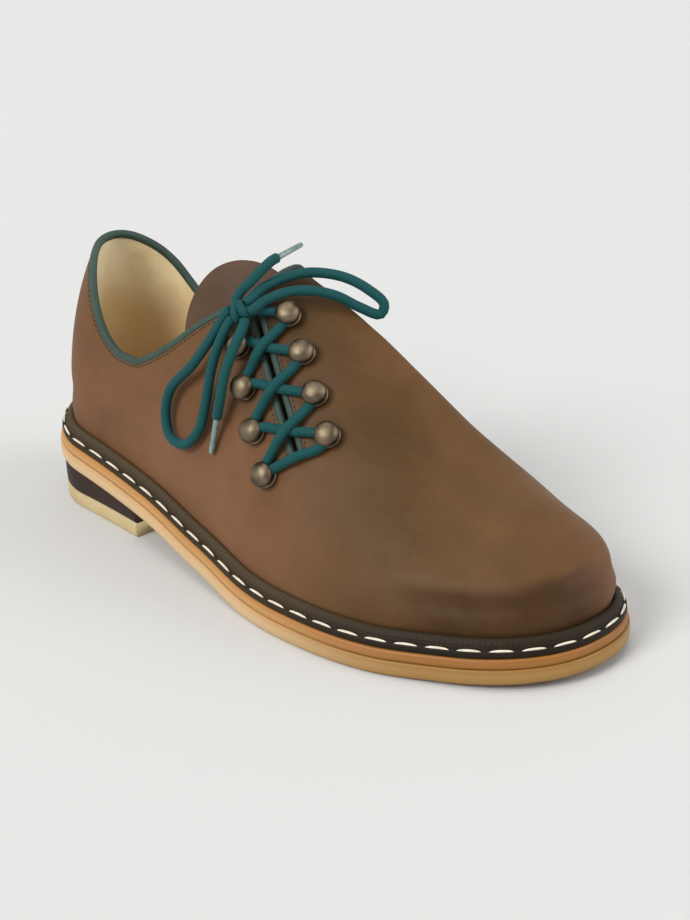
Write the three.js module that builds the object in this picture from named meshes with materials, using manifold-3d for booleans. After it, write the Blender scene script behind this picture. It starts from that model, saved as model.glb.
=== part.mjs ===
// Haferl shoe, right foot: a lace-up leather shoe whose slit and lacing lie on the outer side.
// Millimetres. X runs from heel to toe, Y towards the inner side of the foot, Z up.
// The origin lies on the ground under the middle of the heel.
import * as THREE from 'three';
import { mergeVertices } from 'three/addons/utils/BufferGeometryUtils.js';
import Module from 'manifold-3d';

const wasm = await Module();
wasm.setup();

// Driving sizes of the sole
const length = 300;
const ballWidth = 117.8;
const heelWidth = 73.6;
const heelPitch = 23;
const toeSpring = 4;
const toeTurn = 16.3;
const heelLength = 80;
const heelRound = 36;
const toeRound = 85;
const heelLiftThick = 7;
const outsoleThick = 6.5;
const midsoleThick = 4;
const weltFlange = 3;
const weltHeight = 7;
const weltBead = 3.4;
const midsoleStep = 0.8;
const weltStep = 1.4;
const heelStep = 1.6;

// Driving sizes of the upper
const upperSet = 7;
const upperWall = 2.6;
const instepHeight = 101;
const collarHeight = 117;
const throatPlace = 129.5;
const insoleThick = 3;
const slitTop = 116;
const slitBottom = 67.5;
const slitFoot = 173;
const slitSlope = 0.968;
const slitGap = 5.6;
const slitHeadDrop = 8;
const slitPlatePast = 12;
const slitPlateDepth = 24;
const bindingSize = 2.6;
const slitBindingSize = 2;

// Driving sizes of tongue, eyelets and laces
const tongueThick = 2;
const tongueWidth = 56;
const tongueFootWidth = 38;
const tongueRise = 23;
const tongueOffset = -12;
const tongueDrop = 8;
const tongueSlack = 1.5;
const wallSlant = 1.12;
const eyeletRadius = 4.8;
const eyeletBase = 5;
const eyeletHeight = 6.6;
const eyeletNeck = 2;
const eyeletNeckRadius = 2.2;
const eyeletBaseThick = 0.8;
const laceSize = 4;
const tipSize = 2.4;
const tipLength = 17;
const knotSize = 7.6;
const knotLength = 6;
const eyeletSeat = 0.55;
const seam = 0.3;

// Half widths of the sole's outline, as shares of the ball width
const outlineTable = [
  { at: 0.00, outer: 0.335, inner: 0.335 },
  { at: 0.12, outer: 0.350, inner: 0.350 },
  { at: 0.28, outer: 0.353, inner: 0.285 },
  { at: 0.42, outer: 0.385, inner: 0.270 },
  { at: 0.55, outer: 0.448, inner: 0.365 },
  { at: 0.62, outer: 0.474, inner: 0.430 },
  { at: 0.70, outer: 0.484, inner: 0.492 },
  { at: 0.78, outer: 0.475, inner: 0.508 },
  { at: 0.88, outer: 0.446, inner: 0.462 },
  { at: 1.00, outer: 0.450, inner: 0.450 },
];
// Height of the outsole's underside: shares of the heel's pitch and of the toe spring
const undersideTable = [
  { at: 0.00, pitch: 1.00, spring: 0.00 },
  { at: 0.27, pitch: 0.55, spring: 0.00 },
  { at: 0.42, pitch: 0.22, spring: 0.00 },
  { at: 0.58, pitch: 0.00, spring: 0.00 },
  { at: 0.72, pitch: 0.00, spring: 0.00 },
  { at: 0.86, pitch: 0.00, spring: 0.25 },
  { at: 1.00, pitch: 0.00, spring: 1.00 },
];
// The upper's ridge above the welt: height in shares of the instep, place across in shares of the ball width
const ridgeTable = [
  { at: 0.00, rise: 0.916, across: 0.000 },
  { at: 0.15, rise: 0.980, across: 0.032 },
  { at: 0.30, rise: 1.008, across: 0.082 },
  { at: 0.42, rise: 0.999, across: 0.140 },
  { at: 0.50, rise: 0.940, across: 0.173 },
  { at: 0.56, rise: 0.858, across: 0.186 },
  { at: 0.62, rise: 0.736, across: 0.196 },
  { at: 0.70, rise: 0.553, across: 0.203 },
  { at: 0.78, rise: 0.419, across: 0.190 },
  { at: 0.86, rise: 0.343, across: 0.171 },
  { at: 0.94, rise: 0.282, across: 0.150 },
  { at: 1.00, rise: 0.238, across: 0.130 },
];
// How full the upper's sections are: the arch's exponent, and the side's swell in shares of the ball width
const sectionTable = [
  { at: 0.00, outer: 1.93, inner: 1.93, outerSwell: 0.004, innerSwell: 0.004 },
  { at: 0.30, outer: 1.78, inner: 2.26, outerSwell: 0.020, innerSwell: 0.048 },
  { at: 0.50, outer: 1.48, inner: 1.90, outerSwell: 0.015, innerSwell: 0.018 },
  { at: 0.65, outer: 1.35, inner: 1.75, outerSwell: 0.013, innerSwell: 0.022 },
  { at: 0.85, outer: 1.96, inner: 2.02, outerSwell: 0.014, innerSwell: 0.026 },
  { at: 1.00, outer: 2.48, inner: 2.48, outerSwell: 0.022, innerSwell: 0.022 },
];
// The collar's edge as shares of the collar's height, from the heel to the throat
const collarTable = [
  { at: 0.000, outer: 1.010, inner: 1.010 },
  { at: 0.070, outer: 1.005, inner: 1.008 },
  { at: 0.100, outer: 0.955, inner: 0.955 },
  { at: 0.128, outer: 0.858, inner: 0.880 },
  { at: 0.150, outer: 0.768, inner: 0.812 },
  { at: 0.175, outer: 0.698, inner: 0.752 },
  { at: 0.210, outer: 0.662, inner: 0.715 },
  { at: 0.240, outer: 0.668, inner: 0.722 },
  { at: 0.275, outer: 0.716, inner: 0.762 },
  { at: 0.320, outer: 0.796, inner: 0.868 },
  { at: 0.355, outer: 0.870, inner: 0.938 },
  { at: 0.395, outer: 0.932, inner: 1.002 },
  { at: 0.432, outer: 0.975, inner: 1.048 },
];
// Eyelets from the throat down: along the slit from its foot and across from it, in shares of its length
const eyeletTable = [
  { frontAlong: 0.820, frontAcross: 0.180, rearAlong: 0.756, rearAcross: -0.150 },
  { frontAlong: 0.559, frontAcross: 0.203, rearAlong: 0.504, rearAcross: -0.189 },
  { frontAlong: 0.290, frontAcross: 0.208, rearAlong: 0.234, rearAcross: -0.211 },
  { frontAlong: 0.031, frontAcross: 0.208, rearAlong: -0.038, rearAcross: -0.220 },
];
// Where a strand of the lace ends beside an eyelet, in eyelet radii from the eyelet's axis
const strandEnds = {
  rearUp: { along: 1.42, across: 1.44 },
  rearDown: { along: -0.23, across: 1.40 },
  rearBar: { along: 0.13, across: 1.33 },
  rearTop: { along: 1.00, across: 1.05 },
  frontUp: { along: 0.71, across: -1.27 },
  frontDown: { along: -1.25, across: -1.08 },
  frontBar: { along: -0.92, across: -0.95 },
};
// Heights of a strand's middle line above the leather: one that runs below and one that runs over it
const strandLow = 2.5;
const strandHigh = 5.4;
// The knot's middle, then the loops and ends of the bow: along the slit, across it and out from it
const knotPlace = [64.2, -3.2, 8.5];
const loopLeftPoints = [
  [66.3, -6.8, 8.5], [66.2, -8.4, 8.5], [59.8, -18.6, 6.8], [53.8, -32.2, 2.6], [51.1, -48.3, -5.0],
  [44.0, -55.9, -10.6], [34.9, -57.5, -12.9], [27.8, -50.9, -10.2], [28.9, -40.8, -5.0], [37.2, -32.1, -0.2],
  [45.6, -25.3, 4.0], [53.9, -17.7, 7.2], [61.8, -8.4, 8.5], [62.0, -6.8, 8.5],
];
const loopRightPoints = [
  [66.3, 0.5, 8.5], [66.5, 2.0, 8.4], [70.8, 8.3, 4.8], [73.6, 18.0, -1.6], [74.0, 26.1, -8.4],
  [68.3, 37.0, -13.4], [60.7, 43.8, -18.0], [53.6, 47.2, -21.8], [50.4, 44.2, -22.4], [54.6, 38.4, -16.6],
  [60.2, 32.6, -9.0], [64.0, 25.4, -3.0], [65.8, 17.0, 1.8], [64.9, 7.5, 5.6], [62.1, 2.0, 8.4],
  [62.0, 0.5, 8.5],
];
const endDownPoints = [
  [59.5, -2.2, 8.8], [58.0, -2.6, 9.0], [48.2, -10.8, 9.9], [40.4, -18.0, 8.0], [33.3, -23.4, 5.5],
  [28.1, -28.8, 1.2],
];
const endUpPoints = [
  [68.8, -3.2, 8.8], [70.3, -2.8, 9.0], [73.0, 5.0, 9.4], [76.5, 11.2, 8.8], [79.3, 15.4, 6.9],
  [80.8, 17.2, 4.4],
];
const heelFold = 0.133;
const toeFold = 0.150;
const ridgeSoftness = 0.22;
const heelShare = 0.70;
const toePower = 2.25;
const stations = 36;
const archSteps = 10;

const laceGreen = 0x14635d;
const materials = {
  rubber: { color: 0xb99a68, roughness: 0.7 },
  midsole: { color: 0xc98b4e, roughness: 0.6 },
  welt: { color: 0x3a3129, roughness: 0.6 },
  heel: { color: 0x4c3a32, roughness: 0.7 },
  lift: { color: 0xc8b487, roughness: 0.7 },
  insole: { color: 0xcdb37c, roughness: 0.8 },
  upper: { color: 0x7a5a42, roughness: 0.65 },
  tongue: { color: 0x6b4a38, roughness: 0.65 },
  binding: { color: 0x4b655f, roughness: 0.6 },
  brass: { color: 0x8f7d66, roughness: 0.35, metalness: 1 },
  lace: { color: laceGreen, roughness: 0.8 },
  tip: { color: 0x9aa3a0, roughness: 0.3 },
};

// Monotone cubic through one named column of a table
function column(table, name) {
  const xs = table.map((row) => row.at);
  const ys = table.map((row) => row[name]);
  const last = xs.length - 1;
  const slopes = xs.slice(1).map((x, i) => (ys[i + 1] - ys[i]) / (x - xs[i]));
  const tangents = xs.map((x, i) => {
    if (i === 0) return slopes[0];
    if (i === last) return slopes[last - 1];
    if (slopes[i - 1] * slopes[i] <= 0) return 0;
    const before = xs[i] - xs[i - 1];
    const after = xs[i + 1] - xs[i];
    const weightBefore = 2 * after + before;
    const weightAfter = after + 2 * before;
    return (weightBefore + weightAfter) / (weightBefore / slopes[i - 1] + weightAfter / slopes[i]);
  });
  return (x) => {
    const place = THREE.MathUtils.clamp(x, xs[0], xs[last]);
    let i = 0;
    while (i < last - 1 && place > xs[i + 1]) i += 1;
    const step = xs[i + 1] - xs[i];
    const t = (place - xs[i]) / step;
    return (1 + 2 * t) * (1 - t) ** 2 * ys[i] + t * (1 - t) ** 2 * step * tangents[i]
      + t * t * (3 - 2 * t) * ys[i + 1] + t * t * (t - 1) * step * tangents[i + 1];
  };
}

const half = { outer: column(outlineTable, 'outer'), inner: column(outlineTable, 'inner') };
const pitchAt = column(undersideTable, 'pitch');
const springAt = column(undersideTable, 'spring');
const ridgeRise = column(ridgeTable, 'rise');
const ridgeAcross = column(ridgeTable, 'across');
const fullness = { outer: column(sectionTable, 'outer'), inner: column(sectionTable, 'inner') };
const swell = { outer: column(sectionTable, 'outerSwell'), inner: column(sectionTable, 'innerSwell') };
const collarEdge = { outer: column(collarTable, 'outer'), inner: column(collarTable, 'inner') };
const heelBlend = column([{ at: 0, k: 1 }, { at: 0.12, k: 1 }, { at: 0.45, k: 0 }, { at: 1, k: 0 }], 'k');
const toeShift = column([{ at: 0, k: 0 }, { at: 0.5, k: 0 }, { at: 1, k: 1 }], 'k');

const outsoleTop = outsoleThick;
const midsoleBase = outsoleTop + seam;
const midsoleTop = midsoleBase + midsoleThick;
const upperBase = midsoleTop + seam;
const weltLine = upperBase + weltHeight;

function underside(x) {
  return heelPitch * pitchAt(x / length) + toeSpring * springAt(x / length);
}

// The sole's outline: turn runs from -1 at the toe by the outer side, 0 at the heel, to 1 at the toe again
function outlinePoint(turn) {
  const wrapped = turn > 1 ? turn - 2 : turn < -1 ? turn + 2 : turn;
  const side = wrapped < 0 ? 'outer' : 'inner';
  const x = length * (1 - Math.cos(Math.PI * wrapped)) / 2;
  const share = x / length;
  const heelRatio = heelWidth / (heelShare * ballWidth);
  const narrow = 1 + (heelRatio - 1) * heelBlend(share);
  let round = 1;
  if (x < heelRound) round = Math.sqrt(Math.max(0, 1 - (1 - x / heelRound) ** 2));
  const toward = (x - (length - toeRound)) / toeRound;
  if (toward > 0) round = Math.max(0, 1 - toward ** toePower) ** (1 / toePower);
  const width = half[side](share) * ballWidth * round * narrow;
  const centre = toeTurn * toeShift(share);
  return new THREE.Vector2(x, centre + (wrapped < 0 ? -width : width));
}

function outlineNormal(turn) {
  const step = 0.004;
  const along = outlinePoint(turn + step).sub(outlinePoint(turn - step)).normalize();
  return new THREE.Vector2(-along.y, along.x);
}

function inset(turn, distance) {
  return outlinePoint(turn).addScaledVector(outlineNormal(turn), -distance);
}

// The upper's outer face: reach runs from 0 at the welt to 1 at the ridge
function upperPoint(turn, reach) {
  const foot = inset(turn, upperSet);
  const side = turn < 0 ? 'outer' : 'inner';
  const share = THREE.MathUtils.clamp(foot.x / length, 0, 1);
  const spineX = foot.x + length * (heelFold * (1 - share) ** 3 - toeFold * share ** 3);
  const spineY = ballWidth * ridgeAcross(spineX / length);
  const left = 1 - reach;
  const softened = (value) => Math.hypot(value, ridgeSoftness) - ridgeSoftness;
  const soft = softened(left) / softened(1);
  const power = fullness[side](share);
  const rise = (1 - soft ** power) ** (1 / power);
  const out = ballWidth * swell[side](share) * Math.sin(Math.PI * rise) * left;
  const normal = outlineNormal(turn);
  const x = THREE.MathUtils.lerp(foot.x, spineX, reach) + out * normal.x;
  const y = THREE.MathUtils.lerp(foot.y, spineY, reach) + out * normal.y;
  return new THREE.Vector3(x, y, underside(x) + weltLine + instepHeight * ridgeRise(x / length) * rise);
}

function upperNormal(turn, reach) {
  const step = 0.006;
  const reachStep = 0.01;
  const wrap = (t) => (t > 1 ? t - 2 : t < -1 ? t + 2 : t);
  const along = upperPoint(wrap(turn + step), reach).sub(upperPoint(wrap(turn - step), reach));
  const high = Math.min(1, reach + reachStep);
  const low = Math.max(0, reach - reachStep);
  const up = upperPoint(turn, high).sub(upperPoint(turn, low));
  const normal = along.cross(up);
  if (normal.length() < 1e-4) return new THREE.Vector3(0, 0, 1);
  return normal.normalize().multiplyScalar(-1);
}

function layerPoint(turn, reach, depth) {
  return upperPoint(turn, reach).addScaledVector(upperNormal(turn, reach), -depth);
}

function bisect(low, high, value) {
  let a = low;
  let b = high;
  const rising = value(b) > value(a);
  for (let i = 0; i < 36; i += 1) {
    const middle = (a + b) / 2;
    if ((value(middle) > 0) === rising) b = middle;
    else a = middle;
  }
  return (a + b) / 2;
}

// Where the outer side of the upper is seen at x and z from the side
function sideSpot(x, z) {
  const turnFor = (reach) => bisect(-0.97, -0.03, (turn) => upperPoint(turn, reach).x - x);
  const reach = bisect(0.001, 0.999, (r) => upperPoint(turnFor(r), r).z - z);
  return { turn: turnFor(reach), reach };
}

function closedGeometry(points, triangles) {
  const positions = new Float32Array(points.flatMap((point) => point.toArray()));
  const loose = new THREE.BufferGeometry();
  loose.setAttribute('position', new THREE.BufferAttribute(positions, 3));
  loose.setIndex(triangles.flat());
  const merged = mergeVertices(loose, 1e-4);
  const index = [...merged.index.array];
  const kept = [];
  for (let i = 0; i < index.length; i += 3) {
    const [a, b, c] = index.slice(i, i + 3);
    if (a !== b && b !== c && a !== c) kept.push(a, b, c);
  }
  merged.setIndex(kept);
  if (signedVolume(merged) < 0) {
    for (let i = 0; i < kept.length; i += 3) [kept[i], kept[i + 1]] = [kept[i + 1], kept[i]];
    merged.setIndex(kept);
  }
  return merged;
}

function signedVolume(geometry) {
  const position = geometry.getAttribute('position');
  const index = geometry.index.array;
  const corner = (i) => new THREE.Vector3().fromBufferAttribute(position, index[i]);
  let sum = 0;
  for (let i = 0; i < index.length; i += 3) sum += corner(i).dot(corner(i + 1).cross(corner(i + 2)));
  return sum / 6;
}

// Joins rings of equal size; an open row of rings gets flat ends where asked
function loft(rings, { loop = false, startCap = true, endCap = true } = {}) {
  const count = rings[0].length;
  const points = rings.flat();
  const triangles = [];
  const spans = loop ? rings.length : rings.length - 1;
  for (let i = 0; i < spans; i += 1) {
    const here = i * count;
    const next = ((i + 1) % rings.length) * count;
    for (let j = 0; j < count; j += 1) {
      const k = (j + 1) % count;
      triangles.push([here + j, here + k, next + k], [here + j, next + k, next + j]);
    }
  }
  const cap = (start, flip) => {
    for (let j = 1; j < count - 1; j += 1) {
      triangles.push(flip ? [start, start + j, start + j + 1] : [start, start + j + 1, start + j]);
    }
  };
  if (!loop && startCap) cap(0, false);
  if (!loop && endCap) cap((rings.length - 1) * count, true);
  return closedGeometry(points, triangles);
}

function toManifold(geometry) {
  const bare = new THREE.BufferGeometry();
  bare.setAttribute('position', geometry.getAttribute('position').clone());
  if (geometry.index) bare.setIndex(geometry.index.clone());
  const merged = mergeVertices(bare, 1e-4);
  return new wasm.Manifold(new wasm.Mesh({
    numProp: 3,
    vertProperties: new Float32Array(merged.getAttribute('position').array),
    triVerts: new Uint32Array(merged.index.array),
  }));
}

function toGeometry(manifold) {
  const mesh = manifold.getMesh();
  const geometry = new THREE.BufferGeometry();
  geometry.setAttribute('position', new THREE.BufferAttribute(new Float32Array(mesh.vertProperties), 3));
  geometry.setIndex([...mesh.triVerts]);
  return geometry;
}

// A slab of the sole between two heights above the underside, its edge rounded by a small chamfer
function soleSlab(base, top, setBack, chamfer) {
  const rings = [];
  for (let i = 0; i <= stations; i += 1) {
    const turn = i / stations;
    const ring = [];
    const corner = (side, distance, height) => {
      const spot = inset(side * turn, distance);
      ring.push(new THREE.Vector3(spot.x, spot.y, underside(spot.x) + height));
    };
    corner(-1, setBack + chamfer, base);
    corner(-1, setBack, base + chamfer);
    corner(-1, setBack, top - chamfer);
    corner(-1, setBack + chamfer, top);
    corner(1, setBack + chamfer, top);
    corner(1, setBack, top - chamfer);
    corner(1, setBack, base + chamfer);
    corner(1, setBack + chamfer, base);
    rings.push(ring);
  }
  return loft(rings, { startCap: false, endCap: false });
}

// The heel's pieces: outline of the heel up to its breast, flat below and following the sole above
function heelBlock(bottomOf, topOf, setBack) {
  const rings = [];
  const breast = Math.acos(1 - 2 * (heelLength / length)) / Math.PI;
  const count = 16;
  for (let i = 0; i <= count; i += 1) {
    const turn = breast * i / count;
    const ring = [];
    const corner = (side, heightOf) => {
      const spot = inset(side * turn, setBack);
      const x = i === count ? heelLength : spot.x;
      ring.push(new THREE.Vector3(x, spot.y, heightOf(x)));
    };
    corner(-1, bottomOf);
    corner(-1, topOf);
    corner(1, topOf);
    corner(1, bottomOf);
    rings.push(ring);
  }
  return loft(rings, { startCap: false });
}

// The welt's ring: a flat flange and a raised bead that hugs the upper
function weltGeometry() {
  const reachOut = upperSet - weltStep;
  const profile = [
    { out: seam, up: 0 },
    { out: reachOut, up: 0 },
    { out: reachOut, up: weltFlange },
    { out: weltBead + 0.9, up: weltFlange + 0.2 },
    { out: weltBead * 0.9, up: weltHeight * 0.82 },
    { out: seam, up: weltHeight },
  ];
  const rings = [];
  for (let i = -stations; i < stations; i += 1) {
    const turn = i / stations;
    rings.push(profile.map(({ out, up }) => {
      const spot = inset(turn, upperSet - out);
      return new THREE.Vector3(spot.x, spot.y, underside(spot.x) + upperBase + up);
    }));
  }
  return loft(rings, { loop: true });
}

// A shell of the upper at a depth below its outer face, down to a height above the underside
function lastShell(depth, base) {
  const rings = [];
  for (let i = 0; i <= stations; i += 1) {
    const turn = i / stations;
    const columnOf = (side) => {
      const foot = inset(side * turn, upperSet + depth);
      const points = [new THREE.Vector3(foot.x, foot.y, underside(foot.x) + base)];
      for (let j = 0; j <= archSteps; j += 1) {
        const reach = 1 - Math.cos(j / archSteps * Math.PI / 2);
        points.push(layerPoint(side * turn, reach, depth));
      }
      return points;
    };
    const outer = columnOf(-1);
    const folded = i === 0 || i === stations;
    const inner = folded ? outer.map((point) => point.clone()) : columnOf(1);
    inner.pop();
    rings.push([...outer, ...inner.reverse()]);
  }
  return loft(rings, { startCap: false, endCap: false });
}

// Height of the collar's edge over a point of the plan
function collarHeightAt(x, y) {
  const share = x / length;
  const width = heelWidth / 2 - upperSet;
  const across = THREE.MathUtils.clamp((y + width) / (2 * width), 0, 1);
  return collarHeight * THREE.MathUtils.lerp(collarEdge.outer(share), collarEdge.inner(share), across);
}

// Everything that is open above the collar, from behind the heel to the throat
function collarOpening() {
  const sideReach = ballWidth / 2;
  const above = collarHeight * 1.5;
  const width = heelWidth / 2 - upperSet;
  const rings = [];
  const count = 40;
  for (let i = 0; i <= count; i += 1) {
    const x = THREE.MathUtils.lerp(-heelRound, throatPlace, i / count);
    const edge = (y) => new THREE.Vector3(x, y, collarHeightAt(x, y));
    const low = [-sideReach, -width, 0, width, sideReach].map(edge);
    rings.push([...low, new THREE.Vector3(x, sideReach, above), new THREE.Vector3(x, -sideReach, above)]);
  }
  return loft(rings);
}

// The slit's own frame: its foot, its direction up the side, the way out and the way across to the toe
const slitLine = (() => {
  const spotAt = (z) => sideSpot(slitFoot - slitSlope * (z - slitBottom), z);
  const footSpot = spotAt(slitBottom);
  const headSpot = spotAt(slitTop - slitHeadDrop);
  const foot = upperPoint(footSpot.turn, footSpot.reach);
  const head = upperPoint(headSpot.turn, headSpot.reach);
  const up = head.clone().sub(foot).normalize();
  const middle = spotAt((slitTop + slitBottom) / 2);
  const out = upperNormal(middle.turn, middle.reach);
  out.addScaledVector(up, -out.dot(up)).normalize();
  const across = up.clone().cross(out).normalize();
  const size = (slitTop - slitBottom) / up.z;
  return { foot, up, out, across, size };
})();

// A point on the upper's side, from distances along the slit and across it
function slitSpot(along, across) {
  const { foot, up, out, across: aside } = slitLine;
  const base = foot.clone().addScaledVector(up, along).addScaledVector(aside, across);
  let height = 0;
  let spot = null;
  for (let i = 0; i < 5; i += 1) {
    const guess = base.clone().addScaledVector(out, height);
    spot = sideSpot(guess.x, guess.z);
    height = upperPoint(spot.turn, spot.reach).sub(base).dot(out);
  }
  return { ...spot, height };
}

function slitPoint(along, across, height) {
  const { turn, reach } = slitSpot(along, across);
  return layerPoint(turn, reach, -height);
}

// The slit's cutter: a plate with a round foot that stands across the wall
function slitOpening() {
  const radius = slitGap / 2;
  const outline = new THREE.Shape();
  outline.moveTo(radius, 0);
  outline.lineTo(radius, slitLine.size + slitPlatePast);
  outline.lineTo(-radius, slitLine.size + slitPlatePast);
  outline.lineTo(-radius, 0);
  outline.absarc(0, 0, radius, Math.PI, 2 * Math.PI, false);
  const settings = { depth: slitPlateDepth, bevelEnabled: false, curveSegments: 8 };
  const plate = new THREE.ExtrudeGeometry(outline, settings);
  plate.translate(0, 0, -slitPlateDepth / 2);
  const basis = new THREE.Matrix4().makeBasis(slitLine.across, slitLine.up, slitLine.out.clone().negate());
  if (basis.determinant() < 0) basis.makeBasis(slitLine.across, slitLine.up, slitLine.out);
  basis.setPosition(slitLine.foot);
  plate.applyMatrix4(basis);
  plate.deleteAttribute('normal');
  plate.deleteAttribute('uv');
  return plate;
}

function polygonShape(radius, sides) {
  const shape = new THREE.Shape();
  for (let i = 0; i < sides; i += 1) {
    const angle = 2 * Math.PI * (i + 0.5) / sides;
    if (i === 0) shape.moveTo(radius * Math.cos(angle), radius * Math.sin(angle));
    else shape.lineTo(radius * Math.cos(angle), radius * Math.sin(angle));
  }
  shape.closePath();
  return shape;
}

function tube(points, size, steps, sides = 8) {
  const path = new THREE.CatmullRomCurve3(points, false, 'centripetal');
  const settings = { steps, extrudePath: path, bevelEnabled: false };
  const geometry = new THREE.ExtrudeGeometry(polygonShape(size / 2, sides), settings);
  geometry.deleteAttribute('normal');
  geometry.deleteAttribute('uv');
  return geometry;
}

// A path made a little longer at both ends
function lengthened(points, extra) {
  const before = points[0].clone().sub(points[1]).setLength(extra).add(points[0]);
  const last = points.length - 1;
  const after = points[last].clone().sub(points[last - 1]).setLength(extra).add(points[last]);
  return [before, ...points, after];
}

// The binding's way round the collar, from the lacing's rear flap round the heel and over the ridge
function collarPath(shift) {
  const spots = [];
  const heightOver = (turn) => (reach) => {
    const point = upperPoint(turn, reach);
    return point.z - collarHeightAt(point.x, point.y);
  };
  const xAt = (turn) => {
    const reach = bisect(0.01, 0.999, heightOver(turn));
    return { turn, reach, x: upperPoint(turn, reach).x };
  };
  const shortOf = (side) => throatPlace - (side < 0 ? slitGap * 0.6 : 4);
  const limit = (side) => bisect(0.1, 0.42, (t) => xAt(side * t).x - shortOf(side));
  const outerEnd = limit(-1);
  const innerEnd = limit(1);
  const count = 60;
  for (let i = 0; i <= count; i += 1) {
    const turn = THREE.MathUtils.lerp(-outerEnd, innerEnd, i / count);
    spots.push(xAt(turn));
  }
  const lastReach = spots[count].reach;
  const overRidge = [];
  for (let i = 1; i <= 5; i += 1) {
    const reach = THREE.MathUtils.lerp(lastReach, 1, i / 5);
    const turn = bisect(0.1, 0.6, (t) => upperPoint(t, reach).x - throatPlace);
    overRidge.push({ turn, reach });
  }
  const lowReach = slitSpot(slitLine.size - 3, slitGap / 2).reach;
  for (let i = 1; i <= 4; i += 1) {
    const reach = THREE.MathUtils.lerp(1, lowReach, i / 4.4);
    const turn = -bisect(0.1, 0.6, (t) => upperPoint(-t, reach).x - throatPlace);
    overRidge.push({ turn, reach });
  }
  const all = [...spots, ...overRidge];
  const middle = all.map(({ turn, reach }) => layerPoint(turn, reach, upperWall / 2));
  return middle.map((point, i) => {
    const before = middle[Math.max(0, i - 1)];
    const after = middle[Math.min(middle.length - 1, i + 1)];
    const along = after.clone().sub(before).normalize();
    const out = upperNormal(all[i].turn, all[i].reach);
    const away = along.clone().cross(out).normalize();
    return point.clone().addScaledVector(away, shift);
  });
}

// The slit's binding: down the rear edge, round the foot and up the front edge
function slitPath(shift) {
  const radius = slitGap / 2 - shift;
  const points = [];
  const top = slitLine.size - 2.5;
  const count = 9;
  for (let i = 0; i <= count; i += 1) points.push([top * (1 - i / count), -radius]);
  for (let i = 1; i < 4; i += 1) {
    const angle = Math.PI * i / 4;
    points.push([-radius * Math.sin(angle), -radius * Math.cos(angle)]);
  }
  for (let i = 0; i <= count; i += 1) points.push([top * i / count, radius]);
  return points.map(([along, across]) => slitPoint(along, across, -upperWall / 2));
}

const bindingShift = bindingSize / 2 + seam;
const slitShift = slitBindingSize / 2 + seam;
const collarLine = collarPath(bindingShift);
const slitEdge = slitPath(slitShift);
const collarSteps = 52;
const slitSteps = 22;

// The seat that a binding needs in the leather's edge
function bindingSeat(points, size, steps) {
  const wide = size + 3 * seam;
  const longer = lengthened(points, 1);
  return toManifold(tube(points, wide, steps, 6))
    .add(toManifold(tube(longer.slice(0, 3), wide + seam, 3, 8)))
    .add(toManifold(tube(longer.slice(-3), wide + seam, 3, 8)));
}

// The upper's leather; crumbs that the cuts leave at the throat's corner are dropped
function upperGeometry() {
  const outside = toManifold(lastShell(0, upperBase));
  const inside = toManifold(lastShell(upperWall, upperBase - upperWall));
  const leather = outside
    .subtract(inside)
    .subtract(toManifold(collarOpening()))
    .subtract(toManifold(slitOpening()))
    .subtract(bindingSeat(collarLine, bindingSize, collarSteps))
    .subtract(bindingSeat(slitEdge, slitBindingSize, slitSteps));
  const bodies = leather.decompose().sort((a, b) => b.volume() - a.volume());
  return toGeometry(bodies[0]);
}

function insoleGeometry() {
  const setBack = upperSet + upperWall + seam;
  return soleSlab(upperBase, upperBase + insoleThick, setBack, 0);
}

// The tongue: a thin curved flap under the slit that widens upwards, with a round top over the collar
function tongueGeometry() {
  const { foot, up, out, across, size } = slitLine;
  const low = -tongueDrop;
  const high = size + tongueRise;
  const halfWidth = tongueWidth / 2;
  const rows = 12;
  const columns = 8;
  const clearDrop = (side, levels) => {
    const heights = levels.map((level) => slitSpot(THREE.MathUtils.lerp(low, size, level), side).height);
    return upperWall * wallSlant + tongueSlack - Math.min(...heights);
  };
  const dropOver = (levels) => {
    const table = [];
    for (let j = 0; j <= columns; j += 1) {
      const side = THREE.MathUtils.lerp(-halfWidth, halfWidth, j / columns);
      table.push({ at: side, drop: clearDrop(side + tongueOffset, levels) });
    }
    return column(table, 'drop');
  };
  const footDrop = dropOver([0, 0.25, 0.5]);
  const headDrop = dropOver([0.5, 0.75, 1]);
  const crown = high - halfWidth;
  const widthAt = (along) => {
    const share = THREE.MathUtils.clamp((along - low) / (crown - low), 0, 1);
    const half = THREE.MathUtils.lerp(tongueFootWidth / 2, halfWidth, share);
    return half * Math.sqrt(Math.max(0, 1 - (Math.max(0, along - crown) / halfWidth) ** 2));
  };
  const rings = [];
  for (let i = 0; i <= rows; i += 1) {
    const along = THREE.MathUtils.lerp(low, high, Math.sin(i / rows * Math.PI / 2));
    const level = THREE.MathUtils.clamp((along - low) / (size - low), 0, 1);
    const reach = widthAt(along);
    const face = (depth) => {
      const row = [];
      for (let j = 0; j <= columns; j += 1) {
        const side = THREE.MathUtils.lerp(-reach, reach, j / columns);
        const drop = THREE.MathUtils.lerp(footDrop(side), headDrop(side), level);
        const point = foot.clone().addScaledVector(up, along).addScaledVector(across, side + tongueOffset);
        row.push(point.addScaledVector(out, -drop - depth));
      }
      return row;
    };
    rings.push([...face(0), ...face(tongueThick).reverse()]);
  }
  return loft(rings);
}

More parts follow.
